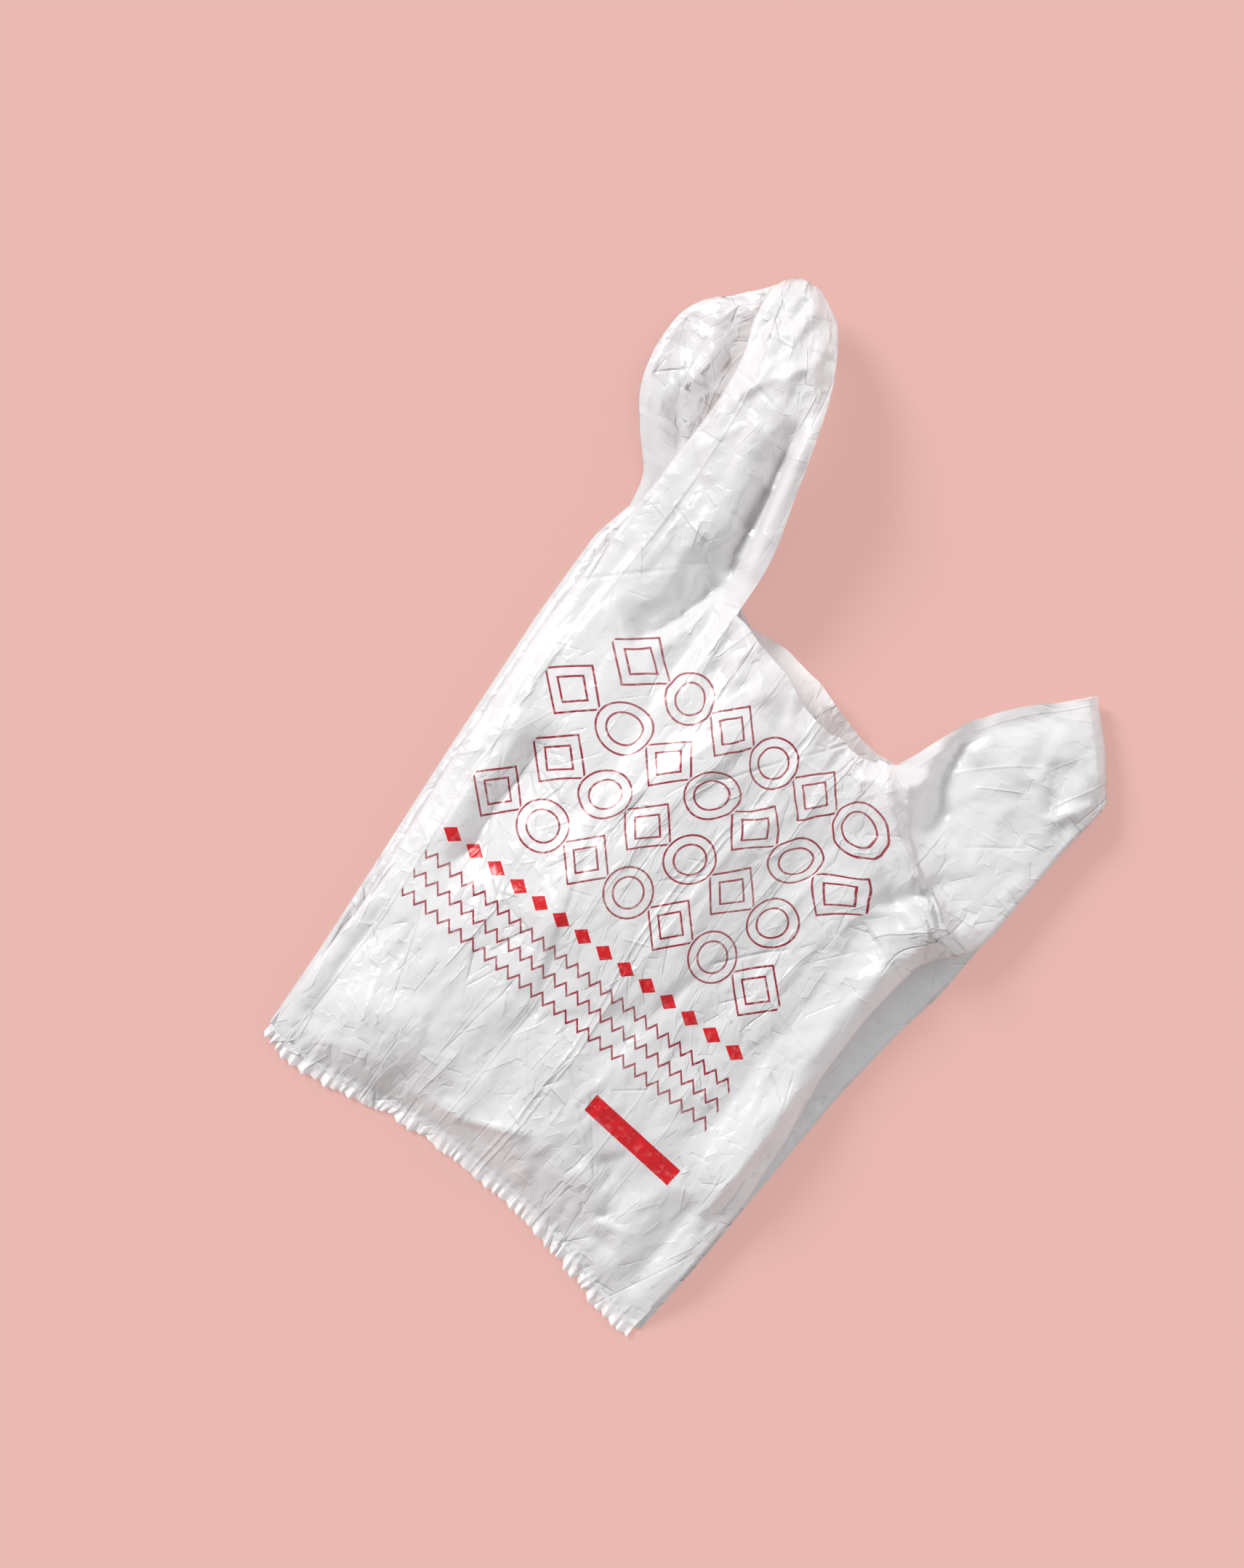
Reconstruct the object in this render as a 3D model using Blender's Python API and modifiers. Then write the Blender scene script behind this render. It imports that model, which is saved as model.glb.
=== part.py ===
"""A plastic carrier bag with two loop handles, lying on its back as if just put down.

The real bag is one blown tube of thin film. It is tucked in at both sides to make gussets, sealed
along the bottom, and cut out at the top, so that its mouth and its two handles are left. Here the
whole bag is one open sheet of faces that Solidify makes as thick as the film.

The bag lies with its front panel up. X runs across it and +Y from the bottom seal to the handles.
Units are metres, and +Z is up.
"""

import math
import random

import bmesh
import bpy
from mathutils import Vector
from mathutils.bvhtree import BVHTree
from mathutils.geometry import delaunay_2d_cdt

LEFT = -1
RIGHT = 1

# Sizes of the bag
PANEL_WIDTH = 0.305
GUSSET_DEPTH = 0.089
BODY_LENGTH = 0.384
HANDLE_WIDTH = 0.072
HANDLE_LENGTH = 0.191
SKIRT_LENGTH = 0.0085

# The film, the step from one sealed layer to the next, and the width of a pressed fold
FILM = 0.0005
LAYER_STEP = 0.0012
HANDLE_FOLD = 0.0018

# The least distance across from a gusset's inner fold to the panel's next column of points
TUCK_CLEARANCE = 0.003

# The ruffles of the seal's skirt
RUFFLE_PITCH = 0.0075
RUFFLE_HEIGHT = 0.0011
RUFFLE_DEPTH = 0.0009
RUFFLE_UNEVENNESS = 0.3
RUFFLES_A_SWELL = 3.7
SKIRT_FILM = 0.0009
SKIRT_LAP = 0.00015

# How high the film stands: at the side folds, and how much more along the middle
FOLD_RISE = 0.020
MIDDLE_RISE = 0.026
GUSSET_SAG = 0.33

# Faces across a handle, across the panel between the gussets, and along the bag
HANDLE_COLUMNS = 6
MIDDLE_COLUMNS = 8
BODY_ROWS = 20
STRAP_ROWS = 9
POINTS_A_RUFFLE = 4
ROW_CROWDING = 1.2

# Where the side folds run, as (share of the body's length, shift of the fold along X)
FRONT_LEFT_FOLD = ((0, 0.004), (0.26, 0.004), (0.51, -0.006), (0.77, -0.0125), (1, -0.0115))
FRONT_RIGHT_FOLD = (
    (0, -0.010), (0.13, -0.0055), (0.26, -0.0035), (0.39, -0.0075), (0.5, -0.014),
    (0.62, -0.0145), (0.74, -0.009), (0.79, 0.008), (0.83, 0.0155), (1, 0.0185),
)
BACK_LEFT_FOLD = (
    (0, 0.003), (0.13, 0), (0.26, -0.004), (0.51, -0.0125), (0.77, -0.020), (0.93, -0.022), (1, -0.016),
)
BACK_RIGHT_FOLD = (
    (0, -0.006), (0.14, -0.002), (0.26, -0.0005), (0.49, 0.003), (0.64, 0.009), (0.72, 0.0145),
    (1, 0.019),
)

# The bottom seal, as (share of half the width, how far up it lies)
SEAL_LINE = (
    (-1, 0.014), (-0.93, 0.009), (-0.82, 0.0065), (-0.63, 0.0105), (-0.38, 0.019), (-0.19, 0.0225),
    (0.25, 0.0205), (0.5, 0.0145), (0.63, 0.009), (0.76, 0.004), (0.88, 0.001), (1, 0.002),
)

# The mouth's two cut edges, as (share of the way from the left handle to the right, shift along Y)
FRONT_MOUTH = ((0, 0), (0.4, -0.012), (0.61, -0.023), (0.72, -0.020), (0.85, -0.022), (1, -0.011))
BACK_MOUTH = ((0, 0.008), (0.12, 0), (0.28, 0.003), (0.6, -0.003), (0.8, -0.011), (1, -0.0105))
HANDLE_ROOT_RISE = {LEFT: 0.008, RIGHT: 0.011}

# How the cut edges of the mouth lie, as shifts along X at the left and the right handle
CUT_SHIFT = {LEFT: 0.0055, RIGHT: -0.021}

# How the film stands along the bag, as (share of the body's length, share of the full height)
FOLD_PROFILE = {
    LEFT: ((0, 0), (0.1, 0.55), (0.4, 0.8), (0.8, 1), (1, 1.25)),
    RIGHT: ((0, 0), (0.1, 0.55), (0.4, 0.8), (0.75, 0.9), (1, 0.75)),
}
MIDDLE_PROFILE = ((0, 0), (0.08, 0.4), (0.25, 0.85), (0.5, 1), (0.8, 0.9), (1, 0.65))
MIDDLE_FLATNESS = 0.8

# Main folds of the front film: points along the fold, each as (share of half the width, share of the
# length), then its height, and its reach on its left and on its right as one looks along it
FRONT_FOLDS = (
    # The long ridge from the mouth to the right side
    (((0.36, 0.96), (0.44, 0.915), (0.60, 0.87), (0.755, 0.825)), 0.012, 0.038, 0.030),
    (((0.755, 0.825), (0.88, 0.795), (1.10, 0.79)), 0.009, 0.032, 0.026),
    # The hollows below the left handle and over the ridge
    (((-0.55, 0.84), (-0.565, 0.965), (-0.575, 1.075)), -0.011, 0.052, 0.012),
    (((0.635, 0.90), (0.57, 0.975), (0.555, 1.07)), -0.006, 0.009, 0.034),
    # The dips along the left side
    (((-0.765, 0.415), (-0.80, 0.69)), -0.005, 0.020, 0.038),
    (((-0.865, 0.055), (-0.90, 0.30)), -0.0045, 0.013, 0.034),
    # The trough and the swell along the right side
    (((0.675, 0.285), (0.68, 0.78)), -0.004, 0.040, 0.022),
    (((0.94, 0.245), (0.94, 0.78)), 0.0035, 0.030, 0.007),
    (((0.825, 0.03), (0.82, 0.23)), -0.0045, 0.018, 0.011),
    # Folds over the seal
    (((-0.30, 0.08), (-0.125, 0.10), (0.125, 0.15)), 0.0045, 0.018, 0.013),
    (((0.565, 0.105), (0.53, 0.155), (0.405, 0.20)), -0.005, 0.015, 0.026),
    # The hollow of the left handle and the curl of its inner edge
    (((-0.605, 1.035), (-0.68, 1.16), (-0.765, 1.30)), -0.009, 0.022, 0.008),
    (((-0.525, 1.03), (-0.615, 1.17), (-0.735, 1.355)), 0.004, 0.009, 0.012),
)
FOLD_TAPER = 0.18
FOLD_SHARPNESS = 1.5

# Flat patches between random points, over the whole bag, as shares of its width and its length
PATCH_SEED = 11
PATCH_COUNT = 127
PATCH_STRETCH = 2
PATCH_HEIGHT = 0.0026
FIELD_LOW = (-0.85, -0.1)
FIELD_HIGH = (0.75, 1.65)
SAME_SPOT = 1e-7
OVER_THE_BAG = 2

# The relief keeps a share of its height at a side fold, and has all of it this far from the folds
# and, as a share of the length, from the seal
RELIEF_AT_FOLD = 0.3
RELIEF_FROM_FOLD = 0.014
RELIEF_FROM_SEAL = 0.07

# How far the back film stands up at the mouth, and where: shares of the width and of the length
MOUTH_LIFT = 0.020
LIFT_ACROSS = (0.24, 0.5)
LIFT_ALONG = (0.86, 1)

# The handles' edges from the body to the top, as (shift along X, share of the length, height). The
# front strap of the left handle arches up, and its back strap has slipped out to the left
FOLD_EDGE = "fold"
CUT_EDGE = "cut"
LEFT_FRONT = {
    FOLD_EDGE: (
        (-0.011, 0.25, 0.034), (-0.011, 0.48, 0.042), (-0.0155, 0.655, 0.046), (-0.024, 0.78, 0.044),
        (-0.027, 0.88, 0.038), (-0.025, 0.935, 0.028),
    ),
    CUT_EDGE: (
        (0.002, 0.20, 0.046), (-0.0095, 0.40, 0.052), (-0.020, 0.575, 0.055), (-0.031, 0.735, 0.052),
        (-0.043, 0.85, 0.044), (-0.054, 0.93, 0.036), (-0.072, 0.985, 0.028),
    ),
}
LEFT_BACK = {
    FOLD_EDGE: (
        (-0.022, 0.19, 0.002), (-0.040, 0.295, 0.003), (-0.056, 0.41, 0.005), (-0.0635, 0.56, 0.007),
        (-0.0615, 0.70, 0.009), (-0.045, 0.81, 0.012), (-0.032, 0.885, 0.015), (-0.0265, 0.925, 0.018),
    ),
    CUT_EDGE: (
        (-0.003, 0.14, 0.002), (-0.024, 0.27, 0.003), (-0.050, 0.42, 0.005), (-0.064, 0.56, 0.008),
        (-0.068, 0.72, 0.011), (-0.068, 0.86, 0.014), (-0.072, 0.945, 0.018),
    ),
}
RIGHT_FRONT = {
    FOLD_EDGE: ((0.0195, 0.08, 0.019), (0.0215, 0.17, 0.019), (0.0225, 0.225, 0.017)),
    CUT_EDGE: (
        (-0.012, 0.08, 0.029), (-0.002, 0.195, 0.030), (0.016, 0.325, 0.028), (0.0345, 0.42, 0.024),
        (0.044, 0.475, 0.019), (0.0465, 0.488, 0.017),
    ),
}
RIGHT_BACK = {
    FOLD_EDGE: ((0.0195, 0.08, 0.001), (0.0215, 0.17, 0.002), (0.0225, 0.23, 0.004)),
    CUT_EDGE: (
        (-0.010, 0.08, 0.001), (0.000, 0.195, 0.001), (0.018, 0.325, 0.002), (0.0355, 0.43, 0.003),
        (0.0465, 0.492, 0.004),
    ),
}
STRAPS = {LEFT: (LEFT_FRONT, LEFT_BACK), RIGHT: (RIGHT_FRONT, RIGHT_BACK)}

# How far a strap's middle arches up over its edges, at the front and at the back
STRAP_ARCH = {LEFT: (0.010, 0.004), RIGHT: (0.004, 0.0015)}

# The rows over which a strap's inner layer leaves the gusset and closes up to the outer layer
ROOT_BLEND_ROWS = 4


def read_off(points, place):
    """The value at a place along a list of (place, value), on straight runs between its points."""
    if place <= points[0][0]:
        return points[0][1]
    for (start, low), (end, high) in zip(points, points[1:]):
        if place <= end:
            return low + (high - low) * (place - start) / (end - start)
    return points[-1][1]


def mix(low, high, share):
    return low + (high - low) * share


def smooth(share):
    return share * share * (3 - 2 * share)


def ramp(low, high, place):
    """0 up to low, 1 from high on, and a smooth rise between."""
    return smooth(min(max((place - low) / (high - low), 0), 1))


# Across the panel


def handle_places(width):
    return [width * column / HANDLE_COLUMNS for column in range(HANDLE_COLUMNS + 1)]


def gusset_places():
    """Distances in from a side fold: the handle's inner layer, then the gusset's inner fold."""
    return handle_places(min(HANDLE_WIDTH, GUSSET_DEPTH - TUCK_CLEARANCE)) + [GUSSET_DEPTH]


def panel_places():
    """Distances from the panel's left fold to every column across it."""
    side = handle_places(HANDLE_WIDTH) + [max(GUSSET_DEPTH, HANDLE_WIDTH + TUCK_CLEARANCE)]
    middle = PANEL_WIDTH - 2 * side[-1]
    across = [side[-1] + middle * column / MIDDLE_COLUMNS for column in range(1, MIDDLE_COLUMNS)]
    return side + across + [PANEL_WIDTH - place for place in reversed(side)]


def cut_x(side):
    """Where the mouth's cut edge turns into a handle."""
    return side * (PANEL_WIDTH / 2 - HANDLE_WIDTH) + CUT_SHIFT[side]


def spread(place, left, right, up):
    """X of a column between the panel's folds. Towards the mouth it gathers between the handles."""
    even = mix(left, right, place / PANEL_WIDTH)
    if place < HANDLE_WIDTH:
        gathered = mix(left, cut_x(LEFT), place / HANDLE_WIDTH)
    elif place > PANEL_WIDTH - HANDLE_WIDTH:
        gathered = mix(cut_x(RIGHT), right, 1 - (PANEL_WIDTH - place) / HANDLE_WIDTH)
    else:
        share = (place - HANDLE_WIDTH) / (PANEL_WIDTH - 2 * HANDLE_WIDTH)
        gathered = mix(cut_x(LEFT), cut_x(RIGHT), share)
    return mix(even, gathered, smooth(up))


def top_y(place, mouth):
    """Y of a column's upper end: the mouth's edge, or the line where a handle begins."""
    share = (place - HANDLE_WIDTH) / (PANEL_WIDTH - 2 * HANDLE_WIDTH)
    if share < 0:
        rise = HANDLE_ROOT_RISE[LEFT] * smooth(1 - place / HANDLE_WIDTH)
    elif share > 1:
        rise = HANDLE_ROOT_RISE[RIGHT] * smooth(1 - (PANEL_WIDTH - place) / HANDLE_WIDTH)
    else:
        rise = 0
    return BODY_LENGTH + read_off(mouth, min(max(share, 0), 1)) + rise


def column_y(place, x, up, mouth):
    seal = read_off(SEAL_LINE, x / (PANEL_WIDTH / 2))
    return mix(seal, top_y(place, mouth), up)


# Heights of the film. At the seal its four layers lie one step apart


def fold_height(side, up):
    return FOLD_RISE * read_off(FOLD_PROFILE[side], up)


def patch_tree():
    """The patches as a tree of faces, whose heights run from -1 to 1."""
    rng = random.Random(PATCH_SEED)
    low = (FIELD_LOW[0] * PANEL_WIDTH, FIELD_LOW[1] * BODY_LENGTH)
    wide = (FIELD_HIGH[0] - FIELD_LOW[0]) * PANEL_WIDTH
    long = (FIELD_HIGH[1] - FIELD_LOW[1]) * BODY_LENGTH / PATCH_STRETCH
    spots = [Vector((rng.random() * wide, rng.random() * long)) for _ in range(PATCH_COUNT)]
    spots += [Vector((x * wide, y * long)) for x in (0, 1) for y in (0, 1)]
    flat, _, triangles, *_ = delaunay_2d_cdt(spots, [], [], 0, SAME_SPOT)
    corners = [(p.x + low[0], p.y * PATCH_STRETCH + low[1], rng.uniform(-1, 1)) for p in flat]
    return BVHTree.FromPolygons(corners, triangles)


PATCHES = patch_tree()


def fold_rise(here, fold):
    """How high a fold stands at a place: full along its points, down to nothing at its reach."""
    shares, height, left, right = fold
    points = [Vector((x * PANEL_WIDTH / 2, y * BODY_LENGTH)) for x, y in shares]
    total = sum((end - start).length for start, end in zip(points, points[1:]))
    nearest, reach, along_fold, done = math.inf, right, 0, 0
    for start, end in zip(points, points[1:]):
        run = end - start
        share = min(max((here - start).dot(run) / run.length_squared, 0), 1)
        away = here - start - run * share
        if away.length < nearest:
            nearest = away.length
            reach = left if run.cross(away) > 0 else right
            along_fold = (done + share * run.length) / total
        done += run.length
    ends = ramp(0, FOLD_TAPER, min(along_fold, 1 - along_fold) + FOLD_TAPER / 4)
    return height * ends * max(0, 1 - nearest / reach) ** FOLD_SHARPNESS


def front_relief(x, y, from_fold):
    """What the folds and the patches add to the height of the front film."""
    total = sum(fold_rise(Vector((x, y)), fold) for fold in FRONT_FOLDS)
    hit = PATCHES.ray_cast(Vector((x, y, OVER_THE_BAG)), Vector((0, 0, -1)))[0]
    total += PATCH_HEIGHT * hit.z
    return total * mix(RELIEF_AT_FOLD, 1, ramp(0, RELIEF_FROM_FOLD, from_fold))


def smooth_front(place, up):
    """A point of the front panel without its relief."""
    left = -PANEL_WIDTH / 2 + read_off(FRONT_LEFT_FOLD, up)
    right = PANEL_WIDTH / 2 + read_off(FRONT_RIGHT_FOLD, up)
    x = spread(place, left, right, up)
    y = column_y(place, x, up, FRONT_MOUTH)
    share = place / PANEL_WIDTH
    folds = mix(fold_height(LEFT, up), fold_height(RIGHT, up), smooth(share))
    middle = MIDDLE_RISE * read_off(MIDDLE_PROFILE, up) * math.sin(math.pi * share) ** MIDDLE_FLATNESS
    return Vector((x, y, FILM / 2 + 3 * LAYER_STEP + folds + middle))


def front_point(place, up):
    point = smooth_front(place, up)
    relief = front_relief(point.x, point.y, min(place, PANEL_WIDTH - place))
    relief *= ramp(0, RELIEF_FROM_SEAL, up)
    point.z = max(point.z + relief, FILM / 2 + 3 * LAYER_STEP)
    return point


def back_point(place, up):
    left = -PANEL_WIDTH / 2 + read_off(BACK_LEFT_FOLD, up)
    right = PANEL_WIDTH / 2 + read_off(BACK_RIGHT_FOLD, up)
    x = spread(place, left, right, up)
    from_side = min(place, PANEL_WIDTH - place) / PANEL_WIDTH
    lift = MOUTH_LIFT * ramp(*LIFT_ACROSS, from_side) * ramp(*LIFT_ALONG, up)
    return Vector((x, column_y(place, x, up, BACK_MOUTH), FILM / 2 + lift))


def gusset_point(side, layer, place, up):
    """A point of a gusset's front or back layer, at a distance in from its side fold."""
    panel_point = front_point if layer == "front" else back_point
    distances = (0, place, GUSSET_DEPTH)
    fold, beside, tuck = [at if side == LEFT else PANEL_WIDTH - at for at in distances]
    start = panel_point(fold, up)
    tuck_x = (front_point(tuck, up).x + back_point(tuck, up).x) / 2 + side * TUCK_CLEARANCE
    middle_y = (front_point(beside, up).y + back_point(beside, up).y) / 2
    tuck_z = FILM / 2 + LAYER_STEP + GUSSET_SAG * fold_height(side, up)
    if layer == "front":
        start_z = start.z - LAYER_STEP
        tuck_z += LAYER_STEP
    else:
        start_z = start.z + LAYER_STEP
    share = place / GUSSET_DEPTH
    y = mix(panel_point(beside, up).y, middle_y, share)
    return Vector((mix(start.x, tuck_x, share), y, mix(start_z, tuck_z, share)))


def ring(up):
    """One closed row round the bag: front, right gusset, back, left gusset, as named runs of points."""
    places = panel_places()
    tucks = gusset_places()
    return {
        "front": [front_point(place, up) for place in places],
        "right_front": [gusset_point(RIGHT, "front", place, up) for place in tucks],
        "right_back": [gusset_point(RIGHT, "back", place, up) for place in tucks],
        "back": [back_point(place, up) for place in places],
        "left_back": [gusset_point(LEFT, "back", place, up) for place in tucks],
        "left_front": [gusset_point(LEFT, "front", place, up) for place in tucks],
    }


def ring_order(runs):
    """The runs of a row joined end to end, all the way round."""
    return (
        runs["front"]
        + runs["right_front"]
        + runs["right_back"][::-1]
        + runs["back"][::-1]
        + runs["left_back"]
        + runs["left_front"][::-1]
    )


# Building the sheet


def add_points(bm, points):
    return [bm.verts.new(point) for point in points]


def join_rows(bm, low, high, closed):
    """A row of four-sided faces between two rows of vertices."""
    count = len(low) if closed else len(low) - 1
    for index in range(count):
        after = (index + 1) % len(low)
        bm.faces.new((low[index], low[after], high[after], high[index]))


def make_body(bm):
    """The tube from the seal to the mouth. Gives back its bottom and its top row, as named runs."""
    rows = []
    for row in range(BODY_ROWS + 1):
        runs = ring((row / BODY_ROWS) ** ROW_CROWDING)
        rows.append({name: add_points(bm, points) for name, points in runs.items()})
    for low, high in zip(rows, rows[1:]):
        join_rows(bm, ring_order(low), ring_order(high), closed=True)
    return rows[0], rows[-1]


def close_bottom(bm, runs):
    """The end of the tube: front to gusset and gusset to back at the sides, front to back between."""
    tuck = len(runs["left_front"])
    last = len(runs["front"]) - 1
    for side in ("left", "right"):
        for layer in ("front", "back"):
            panel = runs[layer][:tuck] if side == "left" else runs[layer][: last - tuck : -1]
            join_rows(bm, panel, runs[f"{side}_{layer}"], closed=False)
    middle = slice(tuck - 1, last - tuck + 2)
    over, under = runs["front"][middle], runs["back"][middle]
    join_rows(bm, over, under, closed=False)
    for side, end in (("left", 0), ("right", -1)):
        bm.faces.new((runs[f"{side}_front"][-1], over[end], under[end], runs[f"{side}_back"][-1]))


# Handles


def along(points, share):
    """A point at a share of the way along a line of points, rounded at its corners."""
    lengths = [0]
    for start, end in zip(points, points[1:]):
        lengths.append(lengths[-1] + (end - start).length)
    reach = share * lengths[-1]
    index = 0
    while index < len(points) - 2 and reach > lengths[index + 1]:
        index += 1
    start, end = points[index], points[index + 1]
    before = points[index - 1] if index else start * 2 - end
    after = points[index + 2] if index + 2 < len(points) else end * 2 - start
    t = (reach - lengths[index]) / (lengths[index + 1] - lengths[index])
    return 0.5 * (
        start * 2
        + (end - before) * t
        + (before * 2 - start * 5 + end * 4 - after) * t**2
        + (start * 3 - before - end * 3 + after) * t**3
    )


def strap_edge(side, strap, edge, root):
    """A strap's edge as points: its root on the body, then the points given for it."""
    if edge == FOLD_EDGE:
        base = side * PANEL_WIDTH / 2
    else:
        base = side * (PANEL_WIDTH / 2 - HANDLE_WIDTH)
    points = [root]
    for shift, share, height in strap[edge]:
        points.append(Vector((base + shift, BODY_LENGTH + share * HANDLE_LENGTH, FILM / 2 + height)))
    return points


def strap_rows(side, strap, root, arch):
    """Rows across one strap, from next to the body up to the handle's top, each from fold to cut."""
    fold = strap_edge(side, strap, FOLD_EDGE, root[0])
    cut = strap_edge(side, strap, CUT_EDGE, root[-1])
    rows = []
    for row in range(1, STRAP_ROWS + 1):
        share = row / STRAP_ROWS
        first, last = along(fold, share), along(cut, share)
        rise = arch * math.sin(math.pi * share / 2)
        points = []
        for column in range(HANDLE_COLUMNS + 1):
            across = column / HANDLE_COLUMNS
            settle = (root[column] - mix(root[0], root[-1], across)) * (1 - smooth(share))
            lift = Vector((0, 0, rise * math.sin(math.pi * across)))
            points.append(mix(first, last, across) + settle + lift)
        rows.append(points)
    return rows


def top_row(front, back):
    """The row on top of a handle, where the film turns over from the front strap to the back one."""
    points = []
    for column in range(HANDLE_COLUMNS + 1):
        onward = (front[-1][column] - front[-2][column]).normalized()
        onward += (back[-1][column] - back[-2][column]).normalized()
        drop = (front[-1][column] - back[-1][column]).length
        points.append(mix(front[-1][column], back[-1][column], 0.5) + onward.normalized() * drop / 3)
    return points


def inner_rows(rows, side, roots):
    """The gusset layer inside a band of rows, one fold's width in from it. Its ends meet the body."""
    inner = []
    count = len(rows)
    for index in range(1, count - 1):
        near = min(index, count - 1 - index)
        root = roots[0] if index < count / 2 else roots[1]
        outer_root = rows[0] if index < count / 2 else rows[-1]
        hold = max(0, 1 - near / ROOT_BLEND_ROWS) ** 2
        points = []
        for column, point in enumerate(rows[index]):
            left = rows[index][max(column - 1, 0)]
            right = rows[index][min(column + 1, HANDLE_COLUMNS)]
            onward = (rows[index + 1][column] - point).normalized()
            onward += (point - rows[index - 1][column]).normalized()
            normal = onward.cross(right - left)
            inward = normal.normalized() * -side * HANDLE_FOLD
            if column == 0:
                inward += (right - left).normalized() * HANDLE_FOLD / 2
            gap = root[column] - outer_root[column]
            points.append(point + mix(inward, gap, hold))
        inner.append(points)
    return inner


def make_handle(bm, side, top):
    """A band of two layers, folded at its outer side, from the front of the body over to the back."""
    name = "left" if side == LEFT else "right"
    width = HANDLE_COLUMNS + 1
    panels = {}
    for layer in ("front", "back"):
        panels[layer] = top[layer][:width] if side == LEFT else top[layer][: -width - 1 : -1]
    tucks = {layer: top[f"{name}_{layer}"][:width] for layer in ("front", "back")}
    roots = {layer: [vert.co.copy() for vert in panels[layer]] for layer in panels}
    from_fold = handle_places(HANDLE_WIDTH)
    places = from_fold if side == LEFT else [PANEL_WIDTH - place for place in from_fold]
    smooth_root = [smooth_front(place, 1) for place in places]
    front, back = STRAPS[side]
    front_arch, back_arch = STRAP_ARCH[side]
    up_rows = strap_rows(side, front, smooth_root, front_arch)
    for row in up_rows:
        for point, distance in zip(row, from_fold):
            point.z += front_relief(point.x, point.y, distance)
    down_rows = strap_rows(side, back, roots["back"], back_arch)
    rows = [roots["front"]] + up_rows + [top_row(up_rows, down_rows)] + down_rows[::-1] + [roots["back"]]
    tuck_roots = [[vert.co.copy() for vert in tucks[layer]] for layer in ("front", "back")]
    inner = inner_rows(rows, side, tuck_roots)
    below = panels["front"][::-1] + tucks["front"]
    for outer_points, inner_points in zip(rows[1:-1], inner):
        row = add_points(bm, outer_points[::-1] + inner_points)
        join_rows(bm, below, row, closed=False)
        below = row
    join_rows(bm, below, panels["back"][::-1] + tucks["back"], closed=False)


def make_sheet():
    bm = bmesh.new()
    bottom, top = make_body(bm)
    close_bottom(bm, bottom)
    make_handle(bm, LEFT, top)
    make_handle(bm, RIGHT, top)
    bmesh.ops.recalc_face_normals(bm, faces=bm.faces)
    mesh = bpy.data.meshes.new("carrier_bag")
    bm.to_mesh(mesh)
    bm.free()
    return mesh


def make_skirt():
    """The ruffled edge below the seal: one strip, whose waves grow from the seal to the cut edge."""
    left = front_point(0, 0).x
    right = front_point(PANEL_WIDTH, 0).x
    waves = round((right - left) / RUFFLE_PITCH)
    steps = waves * POINTS_A_RUFFLE
    bm = bmesh.new()
    rows = ([], [])
    for step in range(steps + 1):
        x = mix(left, right, step / steps)
        seal = read_off(SEAL_LINE, x / (PANEL_WIDTH / 2))
        turn = 2 * math.pi * step / POINTS_A_RUFFLE + math.pi / 4
        swing = 1 - RUFFLE_UNEVENNESS * math.sin(turn / RUFFLES_A_SWELL) ** 2
        level = SKIRT_FILM / 2 + RUFFLE_HEIGHT
        rows[0].append(Vector((x, seal + SKIRT_LAP, level + LAYER_STEP / 2)))
        depth = SKIRT_LENGTH + RUFFLE_DEPTH * math.cos(turn) * swing
        rows[1].append(Vector((x, seal - depth, level + RUFFLE_HEIGHT * math.sin(turn) * swing)))
    join_rows(bm, add_points(bm, rows[1]), add_points(bm, rows[0]), closed=False)
    mesh = bpy.data.meshes.new("seal_skirt")
    bm.to_mesh(mesh)
    bm.free()
    return mesh


# Scene


def clear_scene():
    for thing in list(bpy.data.objects):
        bpy.data.objects.remove(thing, do_unlink=True)


def film_material():
    material = bpy.data.materials.new("white_film")
    material.use_nodes = True
    shader = material.node_tree.nodes["Principled BSDF"]
    shader.inputs["Base Color"].default_value = (0.86, 0.86, 0.87, 1)
    shader.inputs["Roughness"].default_value = 0.35
    shader.inputs["Metallic"].default_value = 0
    return material


def new_object(name, mesh, collection):
    thing = bpy.data.objects.new(name, mesh)
    collection.objects.link(thing)
    return thing


def thicken(thing, thickness):
    solidify = thing.modifiers.new("film", "SOLIDIFY")
    solidify.thickness = thickness
    solidify.offset = 0
    return solidify


def rest_on_origin(bag, skirt):
    """Moves the bag so that the origin is under the middle of its box, on the floor."""
    bpy.context.view_layer.update()
    solid = bag.evaluated_get(bpy.context.evaluated_depsgraph_get())
    corners = [Vector(corner) for corner in solid.bound_box]
    low = Vector([min(corner[axis] for corner in corners) for axis in range(3)])
    high = Vector([max(corner[axis] for corner in corners) for axis in range(3)])
    shift = -Vector(((low.x + high.x) / 2, (low.y + high.y) / 2, low.z))
    for thing in (bag, skirt):
        thing.location = shift


def main():
    clear_scene()
    parts = bpy.data.collections.new("plastic carrier bag")
    helpers = bpy.data.collections.new("helpers")
    for collection in (parts, helpers):
        bpy.context.scene.collection.children.link(collection)

    bag = new_object("carrier_bag", make_sheet(), parts)
    bag.data.materials.append(film_material())
    bag.data.shade_smooth()
    thicken(bag, FILM)

    skirt = new_object("seal_skirt", make_skirt(), helpers)
    thicken(skirt, SKIRT_FILM)
    skirt.hide_render = True
    skirt.display_type = "WIRE"

    union = bag.modifiers.new("skirt", "BOOLEAN")
    union.operation = "UNION"
    union.solver = "EXACT"
    union.object = skirt
    rest_on_origin(bag, skirt)


main()
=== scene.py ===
"""The looks of the plastic carrier bag: its crumpled film as one fine open sheet, its red print,
the pale floor, the lights and the camera.

The sheet repeats the shape of the bag's solid, in metres, with finer rows and columns. It is built in
the bag's own axes, X across it and +Y from the bottom seal to the handles, and then moved to the
frame's origin, which is under the middle of the solid's box.
"""

import math
import random
from functools import partialmethod

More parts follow.
